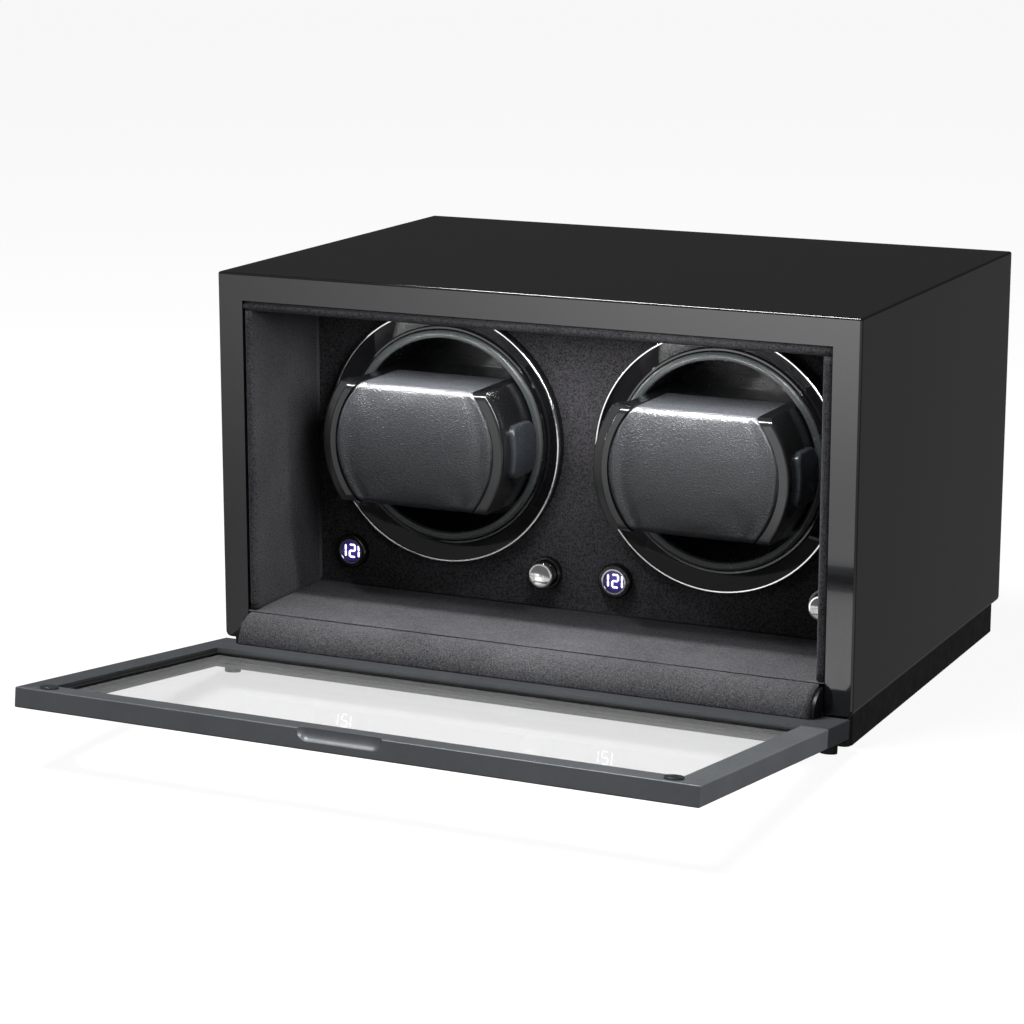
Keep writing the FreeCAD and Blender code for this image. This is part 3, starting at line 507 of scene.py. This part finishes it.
bumper = moulding("bumper_pad", (0.035, 0.04, 0.042), (0.05, 0.055, 0.058), 0.18, 0.3)
paint_nodes(bumper, "door_bumpers")
print("plastic finishes:", bezel_black.name, cushion_black.name, tab_grey.name, rubber.name)


# %% Rotor cups
def off_axis(material, place, centre):
    """The distance of a place from an axis that runs along Y through centre."""
    flat = add(material, "ShaderNodeMapping", Scale=(1.0, 0.0, 1.0))
    link(material, place, flat.inputs["Vector"])
    radius = add(material, "ShaderNodeVectorMath")
    radius.operation = "DISTANCE"
    radius.inputs[1].default_value = (centre.x, 0.0, centre.z)
    link(material, flat.outputs["Vector"], radius.inputs[0])
    return radius.outputs["Value"]


def turned_lines(material, centre, pitch, depth, under):
    """Fine raised lines round an axis that runs along Y through centre."""
    radius = off_axis(material, own_place(material), centre)
    turns = sums(material, "MULTIPLY", radius, 2 * math.pi / pitch)
    relief(material, sums(material, "SINE", turns), depth, under)


def middle(name):
    low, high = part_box(name)
    return (low + high) / 2


RIM_DEPTH = 5.0 * MM
RIM_GREY, CUP_BLACK = (0.05, 0.056, 0.057), (0.005, 0.0055, 0.006)
LINE_PITCH, LINE_DEPTH = 1.1 * MM, 0.05 * MM
for name in both("rotor_cup"):
    cup_satin = finish(name + "_satin", Specular_IOR_Level=0.55)
    place = add(cup_satin, "ShaderNodeSeparateXYZ")
    link(cup_satin, own_place(cup_satin), place.inputs[0])
    rim_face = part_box(name)[0].y
    inward = between(cup_satin, place.outputs["Y"], 0.0, 1.0, rim_face, rim_face + RIM_DEPTH)
    tint(cup_satin, inward, RIM_GREY, CUP_BLACK)
    gloss(cup_satin, grain(cup_satin, 400.0), 0.22, 0.28)
    fine = relief(cup_satin, grain(cup_satin, 1500.0, 2.0), 0.003 * MM)
    turned_lines(cup_satin, middle(name), LINE_PITCH, LINE_DEPTH, fine)
    paint_nodes(cup_satin, name)
print("rotor rims have lines every", round(LINE_PITCH / MM, 2), "mm")

# %% [markdown]
# ### Glass, display lenses and the parts inside
# The pane is true glass for what the camera sees. Lamp light would stop at
# glass, so shadow rays see it as clear, and the floor under the open door
# stays bright. A thin sheet with no thickness would need no such care, but it
# would lose the edges of the pane. Each display lens glows faintly round its
# middle. The power inlet is black with a bright pin, told apart by the distance
# from its axis.

# %% Pane
PANE_CLEAR = 0.75
pane_glass = finish(
    "clear_pane", Base_Color=(0.96, 0.98, 0.97), Transmission_Weight=1.0, IOR=1.45
)
gloss(pane_glass, grain(pane_glass, 14.0), 0.0, 0.012)
rays = add(pane_glass, "ShaderNodeLightPath")
thin = sums(pane_glass, "MAXIMUM", rays.outputs["Is Shadow Ray"], PANE_CLEAR)
clear = add(pane_glass, "ShaderNodeBsdfTransparent")
choose = add(pane_glass, "ShaderNodeMixShader")
link(pane_glass, thin, choose.inputs[0])
link(pane_glass, shader_of(pane_glass).outputs[0], choose.inputs[1])
link(pane_glass, clear.outputs[0], choose.inputs[2])
pane_out = pane_glass.node_tree.nodes["Material Output"]
link(pane_glass, choose.outputs[0], pane_out.inputs["Surface"])
paint_nodes(pane_glass, "door_glass")
print("pane lets", PANE_CLEAR, "of the view straight through")

# %% Display lenses
HALO_IN, HALO_OUT = 0.45, 0.03
HALO_START = 2.0 * MM
lens = finish("display_lens", Emission_Color=(0.1, 0.07, 0.55), Coat_Weight=1.0)
tint(lens, grain(lens, 900.0), (0.006, 0.006, 0.02), (0.01, 0.01, 0.035))
gloss(lens, grain(lens, 400.0), 0.06, 0.12)
lens_low, lens_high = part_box("display_windows")
lens_middle = middle("display_windows")
lens_radius = (lens_high.z - lens_low.z) / 2
lens_step = (lens_high.x - lens_low.x) / 2 - lens_radius
from_middle = add(lens, "ShaderNodeVectorMath")
from_middle.operation = "SUBTRACT"
from_middle.inputs[1].default_value = lens_middle
link(lens, own_place(lens), from_middle.inputs[0])
one_side = add(lens, "ShaderNodeVectorMath")
one_side.operation = "ABSOLUTE"
link(lens, from_middle.outputs["Vector"], one_side.inputs[0])
from_lens = off_axis(lens, one_side.outputs["Vector"], Vector((lens_step, 0.0, 0.0)))
halo = between(lens, from_lens, HALO_IN, HALO_OUT, HALO_START, lens_radius)
link(lens, halo, shader_of(lens).inputs["Emission Strength"])
paint_nodes(lens, "display_windows")
print("lenses", round(2 * lens_radius / MM, 1), "mm across")

# %% Circuit board and power inlet
circuit = finish("circuit_board", Specular_IOR_Level=0.4)
tracks = grain(circuit, 700.0, 1.0, 0.3, stretch=(1.0, 1.0, 4.0))
tint(circuit, tracks, (0.01, 0.07, 0.03), (0.03, 0.16, 0.08), 0.48, 0.52)
gloss(circuit, grain(circuit, 300.0), 0.35, 0.5)
relief(circuit, tracks, 0.04 * MM)
paint_nodes(circuit, "control_board")

PIN_EDGE = 1.2 * MM
PIN_FADE = PIN_EDGE * 1.05
inlet = finish("power_inlet", Specular_IOR_Level=0.4)
from_pin = off_axis(inlet, own_place(inlet), middle("power_jack"))
outside_pin = between(inlet, from_pin, 0.0, 1.0, PIN_EDGE, PIN_FADE)
tint(inlet, outside_pin, (0.6, 0.58, 0.5), (0.012, 0.012, 0.012))
inside_pin = between(inlet, from_pin, 1.0, 0.0, PIN_EDGE, PIN_FADE)
link(inlet, inside_pin, shader_of(inlet).inputs["Metallic"])
gloss(inlet, grain(inlet, 500.0), 0.3, 0.45)
relief(inlet, grain(inlet, 1500.0), 0.02 * MM)
paint_nodes(inlet, "power_jack")
print("electrics:", circuit.name, inlet.name)

# %% [markdown]
# ## Leather cushions
# Each cushion is a plastic frame with leather drawn over foam. The leather runs
# from the back over the top, down the front and under, and it is sewn down
# along two arcs at the frame's ends, where it dips into a narrow seam, with a
# shallow hollow a little way in. A grid of rows round the profile and columns
# across it follows those arcs, with the columns closer together at the seams. A
# box cut to shape would not put its edges along the seams. Cloth with air
# pressure then swells the grid between its seams, as foam does, and no point may
# move further than a cap. One cushion is made, the second is its copy.

# %% Leather
leather = finish(
    "pebbled_leather", Specular_IOR_Level=0.22, Coat_Weight=0.26, Coat_Roughness=0.34
)
pebbles = add(leather, "ShaderNodeTexVoronoi", Scale=1700.0, Randomness=1.0)
pebbles.feature = "SMOOTH_F1"
link(leather, own_place(leather), pebbles.inputs["Vector"])
tint(leather, grain(leather, 1100.0, 4.0), (0.0045, 0.0048, 0.0056), (0.0115, 0.0122, 0.0138))
gloss(leather, pebbles.outputs["Distance"], 0.32, 0.62)
soft_grain = relief(leather, grain(leather, 1500.0, 4.0), 0.08 * MM)
relief(leather, pebbles.outputs["Distance"], 0.42 * MM, soft_grain)
print("leather finish:", leather.name)

# %% Pad sizes
CUSHION_AXIS = middle("cushion_pad_left")
PAD_LOW, PAD_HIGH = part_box("cushion_pad_left")
SEAM_RADIUS = (PAD_HIGH.x - PAD_LOW.x) / 2
PAD_FRONT, PAD_BACK = PAD_LOW.y, PAD_HIGH.y
PAD_HALF = (PAD_HIGH.z - PAD_LOW.z) / 2
PAD_CORNER = 3.6 * MM
PAD_CROWN = 1.0 * MM
SEAM_DIP, SEAM_REACH, SEAM_GAP = 1.0 * MM, 0.8 * MM, 0.4 * MM
SEAM_DROP_SHARE = 0.6
FLUTE_DIP, FLUTE_PLACE, FLUTE_REACH = 0.6 * MM, 7.0 * MM, 3.0 * MM
CORE_SET_BACK, CORE_DROP, CORE_GAP = 4.0 * MM, 2.6 * MM, 0.05 * MM
print("seams on a radius of", round(SEAM_RADIUS / MM, 1), "mm")

# %% Pad profile
TOP_ROWS, CORNER_ROWS, FRONT_ROWS = 12, 10, 15


def profile_rows(front, half):
    """Points of depth and height from the back over the top, down the front and under."""
    shoulder = front + PAD_CROWN
    rows = []
    for step in range(TOP_ROWS):
        rows.append((PAD_BACK + (shoulder + PAD_CORNER - PAD_BACK) * step / TOP_ROWS, half))
    for step in range(CORNER_ROWS):
        turn = math.pi / 2 * step / CORNER_ROWS
        depth = shoulder + PAD_CORNER - PAD_CORNER * math.sin(turn)
        rows.append((depth, half - PAD_CORNER + PAD_CORNER * math.cos(turn)))
    brow = half - PAD_CORNER
    for step in range(FRONT_ROWS):
        height = brow * (1 - step / FRONT_ROWS)
        rows.append((front + PAD_CROWN * (height / brow) ** 2, height))
    lower = [(depth, -height) for depth, height in reversed(rows)]
    return rows + [(front, 0.0)] + lower


def core_rows(count):
    """The same number of points along the frame's core, inside the leather."""
    front = PAD_FRONT + CORE_SET_BACK - CORE_GAP
    half = PAD_HALF - CORE_DROP + CORE_GAP
    corners = [(PAD_BACK, half), (front, half), (front, -half), (PAD_BACK, -half)]
    lengths = [math.dist(a, b) for a, b in zip(corners, corners[1:])]
    rows = []
    for index in range(count):
        along = sum(lengths) * index / (count - 1)
        for a, b, length in zip(corners, corners[1:], lengths):
            if along <= length + 1e-9:
                rows.append(tuple(p + (q - p) * along / length for p, q in zip(a, b)))
                break
            along -= length
    return rows


# %% Pad grid
PAD_COLUMNS = 45
SEWN_ROWS = 2


def pad_points(row_count):
    """Columns across the pad, first of the leather and then of the core under it."""
    inner = core_rows(row_count)
    points = []
    for layer in ("leather", "core"):
        for column in range(PAD_COLUMNS):
            share = math.sin(math.pi * (column / (PAD_COLUMNS - 1) - 0.5))
            from_seam = (1 - abs(share)) * SEAM_RADIUS
            dip = SEAM_DIP * math.exp(-((from_seam / SEAM_REACH) ** 2))
            flute = FLUTE_DIP * math.exp(-(((from_seam - FLUTE_PLACE) / FLUTE_REACH) ** 2))
            outer = profile_rows(PAD_FRONT + dip + flute, PAD_HALF - dip * SEAM_DROP_SHARE)
            for depth, height in outer if layer == "leather" else inner:
                width = math.sqrt(max(SEAM_RADIUS**2 - height**2, 0.0)) - SEAM_GAP
                points.append((CUSHION_AXIS.x + share * width, depth, CUSHION_AXIS.z + height))
    return points


def pad_mesh():
    """The closed pad, and the numbers of the points that are not sewn down."""
    row_count = len(profile_rows(PAD_FRONT, PAD_HALF))
    faces = []

    def at(layer, column, row):
        return (layer * PAD_COLUMNS + column) * row_count + row

    def close(first, second):
        """A face from the leather's rim to the core's, between two neighbours."""
        faces.append([at(0, *first), at(0, *second), at(1, *second), at(1, *first)])

    for column in range(PAD_COLUMNS - 1):
        for row in range(row_count - 1):
            quad = [(column, row), (column, row + 1), (column + 1, row + 1), (column + 1, row)]
            faces.append([at(0, *c) for c in quad])
            faces.append([at(1, *c) for c in reversed(quad)])
    last_column, last_row = PAD_COLUMNS - 1, row_count - 1
    for row in range(last_row):
        close((0, row + 1), (0, row))
        close((last_column, row), (last_column, row + 1))
    for column in range(last_column):
        close((column, 0), (column + 1, 0))
        close((column + 1, last_row), (column, last_row))
    free = []
    for column in range(SEWN_ROWS, PAD_COLUMNS - SEWN_ROWS):
        for row in range(SEWN_ROWS, row_count - SEWN_ROWS):
            free.append(at(0, column, row))
    return mesh_from("cushion_leather_left", pad_points(row_count), faces), free


def face_out(mesh):
    """Turns every face of a closed mesh to look outwards."""
    shell = bmesh.new()
    shell.from_mesh(mesh)
    bmesh.ops.recalc_face_normals(shell, faces=shell.faces)
    shell.to_mesh(mesh)
    shell.free()


pad_data, free_points = pad_mesh()
pad_left = new_object("cushion_leather_left", pad_data)
face_out(pad_data)
print("leather grid:", len(pad_data.vertices), "points,", len(free_points), "of them free")

# %% Swell the leather between its seams
SWELL_CAP = 0.6 * MM
SWELL_PRESSURE = 4.0
SWELL_FRAMES = 20


def swell(piece, free, pressure, cap):
    """Blows the free points out with cloth under pressure, by no more than cap."""
    held = piece.vertex_groups.new(name="held")
    loose = set(free)
    held.add([v.index for v in piece.data.vertices if v.index not in loose], 1.0, "REPLACE")
    cloth = piece.modifiers.new("swell", "CLOTH")
    cloth.settings.vertex_group_mass = "held"
    cloth.settings.use_pressure = True
    cloth.settings.uniform_pressure_force = pressure
    cloth.settings.effector_weights.gravity = 0.0
    cloth.settings.quality = 6
    cloth.settings.tension_stiffness = 30.0
    cloth.settings.compression_stiffness = 30.0
    cloth.settings.bending_stiffness = 2.0
    cloth.point_cache.frame_start = 1
    cloth.point_cache.frame_end = SWELL_FRAMES
    for frame_number in range(1, SWELL_FRAMES + 1):
        bpy.context.scene.frame_set(frame_number)
    graph = bpy.context.evaluated_depsgraph_get()
    blown = piece.evaluated_get(graph).to_mesh()
    moves = [b.co - v.co for b, v in zip(blown.vertices, piece.data.vertices)]
    piece.evaluated_get(graph).to_mesh_clear()
    piece.modifiers.remove(cloth)
    bpy.context.scene.frame_set(1)
    piece.vertex_groups.remove(held)
    most = max(move.length for move in moves)
    share = min(1.0, cap / max(most, 1e-9))
    for vertex, move in zip(piece.data.vertices, moves):
        vertex.co += move * share
    return most


most = swell(pad_left, free_points, SWELL_PRESSURE, SWELL_CAP)
print("leather blown by", round(most / MM, 2), "mm, kept to", round(SWELL_CAP / MM, 2), "mm")

# %% Both cushions
pad_right = new_object("cushion_leather_right", pad_left.data.copy())
module_step = middle("cushion_pad_right").x - CUSHION_AXIS.x
pad_right.data.transform(Matrix.Translation((module_step, 0, 0)))
for side, pad in (("left", pad_left), ("right", pad_right)):
    pad.data.materials.append(leather)
    smoother = pad.modifiers.new("smoother", "SUBSURF")
    smoother.levels = 1
    smoother.render_levels = 1
    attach(pad, "cushion_" + side)
    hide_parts("cushion_pad_" + side)
print("cushions stand", round(module_step / MM, 1), "mm apart")

# %% [markdown]
# ## Suede linings
# The chamber is lined with thin boards under foam and suede. Their front edges
# roll over softly, and the suede is never quite flat. Flat boards with a bumpy
# finish would keep hard, straight edges. So each board is its rounded profile
# swept along its length in many steps, with each point pushed a little by a
# smooth noise, and light breaks on it as on cloth.

# %% Soft board
ROUND_STEPS, BOARD_RUNS = 8, 16
SOFT_SCALE = 55.0


def rounded_profile(depth_low, depth_high, low, high, radius):
    """A board's profile of depth and thickness, with its front edges rounded."""
    centre = depth_low + radius
    behind = depth_high - depth_low - radius
    turns = [math.pi / 2 * step / ROUND_STEPS for step in range(ROUND_STEPS + 1)]
    points = []
    for turn in turns:
        points.append((centre - radius * math.sin(turn), high - radius + radius * math.cos(turn)))
    for turn in turns:
        points.append((centre - radius * math.cos(turn), low + radius - radius * math.sin(turn)))
    for step in range(1, BOARD_RUNS + 1):
        points.append((centre + behind * step / BOARD_RUNS, low))
    for step in range(BOARD_RUNS):
        points.append((depth_high - behind * step / BOARD_RUNS, high))
    return points


def ring_faces(count, steps):
    """Faces between neighbouring rings of points, and a lid on each end."""
    faces = []
    for step in range(steps):
        here, there = step * count, (step + 1) * count
        for index in range(count):
            after = (index + 1) % count
            faces.append([here + index, here + after, there + after, there + index])
    faces.append(list(range(count)))
    faces.append([steps * count + index for index in reversed(range(count))])
    return faces


def swept(name, profile, place, start, stop, steps, soft):
    """Sweeps a closed profile from start to stop, pushed out and in by a soft noise."""
    count = len(profile)
    centre = [sum(p[i] for p in profile) / count for i in range(2)]
    points = []
    for step in range(steps + 1):
        along = start + (stop - start) * step / steps
        for a, b in profile:
            spot = Vector(place(along, a, b))
            push = noise.noise(spot * SOFT_SCALE) * soft
            out = Vector((a - centre[0], b - centre[1]))
            out.normalize()
            points.append(place(along, a + out.x * push, b + out.y * push))
    mesh = mesh_from(name, points, ring_faces(count, steps))
    face_out(mesh)
    return new_object(name, mesh)


# %% Linings
SOFT_PUSH = 0.12 * MM
LINING_ROUND = 2.1 * MM
SIDE_STEPS, WIDE_STEPS = 40, 80


def standing(along, depth, thickness):
    return (thickness, depth, along)


def lying(along, depth, thickness):
    return (along, depth, thickness)


def dress(piece, material, body, node):
    """Gives a soft piece its finish, its body and the solid that it stands for."""
    piece.data.materials.append(material)
    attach(piece, body)
    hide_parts(node)


lining_boards = []
for side in ("left", "right"):
    low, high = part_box("lining_" + side)
    profile = rounded_profile(low.y, high.y, low.x, high.x, LINING_ROUND)
    board = swept(
        "lining_suede_" + side, profile, standing, low.z, high.z, SIDE_STEPS, SOFT_PUSH
    )
    dress(board, suede_charcoal, "case", "lining_" + side)
    lining_boards.append(board)

low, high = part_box("lining_top")
profile = rounded_profile(low.y, high.y, low.z, high.z, LINING_ROUND)
ceiling = swept("lining_suede_top", profile, lying, low.x, high.x, WIDE_STEPS, SOFT_PUSH)
dress(ceiling, suede_charcoal, "case", "lining_top")
lining_boards.append(ceiling)
print("linings made:", [board.name for board in lining_boards])

# %% Floor pad
PAD_SLOPE = 9.9 * MM
PAD_LIP = 0.15 * MM
LEVEL_STEPS, SLOPE_STEPS = 12, 16
FLOOR_PUSH = SOFT_PUSH * 0.2


def thinned_profile(depth_low, depth_high, low, high):
    """The floor pad's profile: level behind, and thinned to a lip over the apron."""
    points = []
    for step in range(LEVEL_STEPS + 1):
        level = depth_low + PAD_SLOPE - depth_high
        points.append((depth_high + level * step / LEVEL_STEPS, high))
    for step in range(1, SLOPE_STEPS + 1):
        share = step / SLOPE_STEPS
        fall = share * share * (3 - 2 * share)
        points.append((depth_low + PAD_SLOPE * (1 - share), high + (low + PAD_LIP - high) * fall))
    for step in range(SLOPE_STEPS + 1):
        points.append((depth_low + (depth_high - depth_low) * step / SLOPE_STEPS, low))
    return points


low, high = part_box("floor_pad")
profile = thinned_profile(low.y, high.y, low.z, high.z)
floor_suede = swept("floor_suede", profile, lying, low.x, high.x, WIDE_STEPS, FLOOR_PUSH)
# The floor pad wears the lining suede painted lighter: painted light.
dress(floor_suede, suede_grey, "case", "floor_pad")
print("floor pad thins over its last", round(PAD_SLOPE / MM, 1), "mm")

# %% [markdown]
# ## Apron
# A suede roll covers the hinge gap. It is part of a cylinder round the hinge
# line, fixed to the door, so that it turns in under the floor as the door
# closes. A strip bent by a modifier could look the same, but an arc measured on
# the solid and swept along the hinge keeps the radius that the hinge needs.

# %% Apron arc
door_hinge = [j for j in frame["joints"] if j["name"] == "door_hinge"][0]
hinge_line = Vector(door_hinge["pos_m"])
arc_points = [v.co for v in nodes["apron_suede"].data.vertices]
reaches = [math.hypot(p.y - hinge_line.y, p.z - hinge_line.z) for p in arc_points]
turns = [math.atan2(p.z - hinge_line.z, hinge_line.y - p.y) for p in arc_points]
APRON_INNER, APRON_OUTER = min(reaches), max(reaches)
APRON_FROM, APRON_TO = min(turns), max(turns)
apron_degrees = round(math.degrees(APRON_TO - APRON_FROM))
print("apron radius", round(APRON_OUTER / MM, 2), "mm over", apron_degrees, "degrees")

# %% Apron
APRON_STEPS, APRON_COLUMNS = 26, 90
APRON_SOFT_SCALE = 60.0


def arc_profile():
    """Pairs of turn and radius, along the outside and back along the inside."""
    swing = APRON_TO - APRON_FROM
    shares = [step / APRON_STEPS for step in range(APRON_STEPS + 1)]
    outside = [(APRON_FROM + swing * share, APRON_OUTER) for share in shares]
    return outside + [(APRON_TO - swing * share, APRON_INNER) for share in shares]


def round_hinge(x, turn, radius):
    up, ahead = radius * math.sin(turn), radius * math.cos(turn)
    return Vector((x, hinge_line.y - ahead, hinge_line.z + up))


low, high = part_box("apron_suede")
apron_ring = arc_profile()
apron_points = []
for column in range(APRON_COLUMNS + 1):
    x = low.x + (high.x - low.x) * column / APRON_COLUMNS
    for turn, radius in apron_ring:
        soft = noise.noise(round_hinge(x, turn, radius) * APRON_SOFT_SCALE) * SOFT_PUSH
        outer = radius == APRON_OUTER
        apron_points.append(round_hinge(x, turn, radius + soft if outer else radius))
apron_faces = ring_faces(len(apron_ring), APRON_COLUMNS)
apron = new_object("apron_roll", mesh_from("apron_roll", apron_points, apron_faces))
face_out(apron.data)
# The apron wears the same lighter-painted copy of the lining suede: painted light.
dress(apron, suede_grey, "door", "apron_suede")
print("apron grid:", len(apron_points), "points")

# %% [markdown]
# ## Lamps for single pieces
# Inside, the box is lit from close under its ceiling, near the front. A long thin
# lamp draws the bright line along the upper edge of each cushion. It shines down
# and back in a narrow spread, so that it does not glare on a cushion that is
# pulled out. A wide weak one in front lifts the leather below that line, and a
# third gives the glints on the rims. A shorter one lights the suede, strongest in
# the middle between the rotors, and a small one in front lights the edges of the
# linings. One above the case front lights the floor pad and the apron and leaves
# the back of the floor in the shadow of the top panel, and one to the right
# lights the free end of the door. One lamp for all of them could not give each
# its own shade. Light linking keeps each lamp to its own pieces.


# %% Lamps for the leather and the rims
def only_on(lamp, pieces):
    """Keeps a lamp's light to the pieces given, and the lamp itself out of view."""
    lamp.visible_camera = False
    group = bpy.data.collections.new(lamp.name + "_pieces")
    for piece in pieces:
        group.objects.link(piece)
    lamp.light_linking.receiver_collection = group
    print(lamp.name, "lights", len(pieces), "pieces")


EDGE_SPREAD = math.radians(80)
ceiling_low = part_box("lining_top")[0]
lamp_height = ceiling_low.z - 2 * MM
over_cushions = (0.0, ceiling_low.y + 15.5 * MM, lamp_height)
behind_edges = (0.0, over_cushions[1] + 58 * MM, lamp_height - 100 * MM)
edge_lamp = softbox("edge_lamp", over_cushions, behind_edges, width=0.27, height=0.014, watts=1.1)
edge_lamp.data.spread = EDGE_SPREAD
only_on(edge_lamp, [pad_left, pad_right])
pad_lamp = softbox("pad_lamp", (0.0, -0.6, 0.06), BOX_MIDDLE, width=0.4, height=0.2, watts=1.0)
only_on(pad_lamp, [pad_left, pad_right])

under_ceiling = (0.0, ceiling_low.y + 7 * MM, lamp_height)
below_rims = (0.0, ceiling_low.y + 20 * MM, 0.03)
rim_stems = ("cushion_frame", "release_tab", "rotor_cup", "bezel_disc", "bezel_ring")
rim_lamp = softbox("rim_lamp", under_ceiling, below_rims, width=0.27, height=0.006, watts=0.4)
only_on(rim_lamp, [nodes[name] for stem in rim_stems for name in both(stem)])

# %% Lamps for the suede and the door
below_front = (0.0, ceiling_low.y - 7 * MM, 0.03)
suede_lamp = softbox("suede_lamp", under_ceiling, below_front, width=0.16, height=0.006, watts=0.33)
only_on(suede_lamp, lining_boards + [nodes["fascia_panel"]])

left_lining = (-0.15, -0.1, 0.1)
lining_lamp = softbox(
    "lining_lamp", (0.1, -0.25, 0.25), left_lining, width=0.1, height=0.1, watts=0.42
)
only_on(lining_lamp, lining_boards)

chamber_floor = (0.0, -0.11, 0.03)
floor_lamp = softbox(
    "floor_lamp", (0.0, -0.1345, 0.262), chamber_floor, width=0.1, height=0.004, watts=1.1
)
only_on(floor_lamp, [floor_suede, apron])

free_corner = (0.12, -0.3, 0.03)
door_lamp = softbox(
    "door_lamp", (0.55, -0.2, 0.5), free_corner, width=0.4, height=0.2, watts=5.8
)
only_on(door_lamp, [nodes["door_top_rail"], nodes["door_right_rail"]])

# %% [markdown]
# ## Display digits
# Each display shows a number in lit bars. Blender's own text could write it, but
# the strokes of a font are not the bars of a display. A bar is a thin six-sided
# plate, as in any seven-bar display, laid on the front of the lens. Plain
# emission makes the bars glow in violet white.

# %% Bars
BAR_WIDTH, BAR_THICKNESS = 0.95 * MM, 0.15 * MM
CELL_WIDTH, CELL_HEIGHT = 3.1 * MM, 3.15 * MM
BARS = {
    "top": ((0, 2), (1, 2)),
    "upper_left": ((0, 1), (0, 2)),
    "upper_right": ((1, 1), (1, 2)),
    "centre": ((0, 1), (1, 1)),
    "lower_left": ((0, 0), (0, 1)),
    "lower_right": ((1, 0), (1, 1)),
    "bottom": ((0, 0), (1, 0)),
}
SHOWN = {
    "1": ("upper_right", "lower_right"),
    "2": ("top", "upper_right", "centre", "lower_left", "bottom"),
}


def bar_plate(points, faces, start, stop, face_y):
    """Adds one bar: a plate with a pointed end at start and at stop."""
    along = (stop - start).normalized()
    across = Vector((-along.z, 0, along.x)) * (BAR_WIDTH / 2)
    nick = along * (BAR_WIDTH / 2)
    upper = [start, start + nick + across, stop - nick + across]
    ring = upper + [stop, stop - nick - across, start + nick - across]
    base, sides = len(points), len(ring)
    for y in (face_y - BAR_THICKNESS, face_y):
        points += [(p.x, y, p.z) for p in ring]
    faces.append([base + i for i in range(sides)])
    faces.append([base + sides + i for i in reversed(range(sides))])
    for i in range(sides):
        j = (i + 1) % sides
        faces.append([base + i, base + sides + i, base + sides + j, base + j])


# %% Digits
glow = finish(
    "digit_glow", Base_Color=(0.5, 0.45, 0.9), Emission_Color=(0.72, 0.66, 1.0), Roughness=0.4
)
brightness = between(glow, grain(glow, 700.0), 2.0, 3.2)
link(glow, brightness, shader_of(glow).inputs["Emission Strength"])
DIGIT_PLACES = ((-5.25 * MM, "1"), (0.1 * MM, "2"), (2.2 * MM, "1"))


def digits(name, centre, face_y):
    points, faces = [], []
    for place, digit in DIGIT_PLACES:
        for bar in SHOWN[digit]:
            ends = []
            for column, row in BARS[bar]:
                offset_x = place + (column - 0.5) * CELL_WIDTH
                ends.append(Vector((centre.x + offset_x, 0, centre.z + (row - 1) * CELL_HEIGHT)))
            bar_plate(points, faces, ends[0], ends[1], face_y)
    mesh = mesh_from(name, points, faces, smooth=False)
    made = new_object(name, mesh)
    mesh.materials.append(glow)
    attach(made, "case")
    return made


for side, step in (("left", -lens_step), ("right", lens_step)):
    shown = digits("display_digits_" + side, lens_middle + Vector((step, 0, 0)), lens_low.y)
    print(shown.name, "has", len(shown.data.polygons), "faces")

# %% Sizes
def plain(corners):
    return [[round(float(v), 6) for v in corner] for corner in corners]
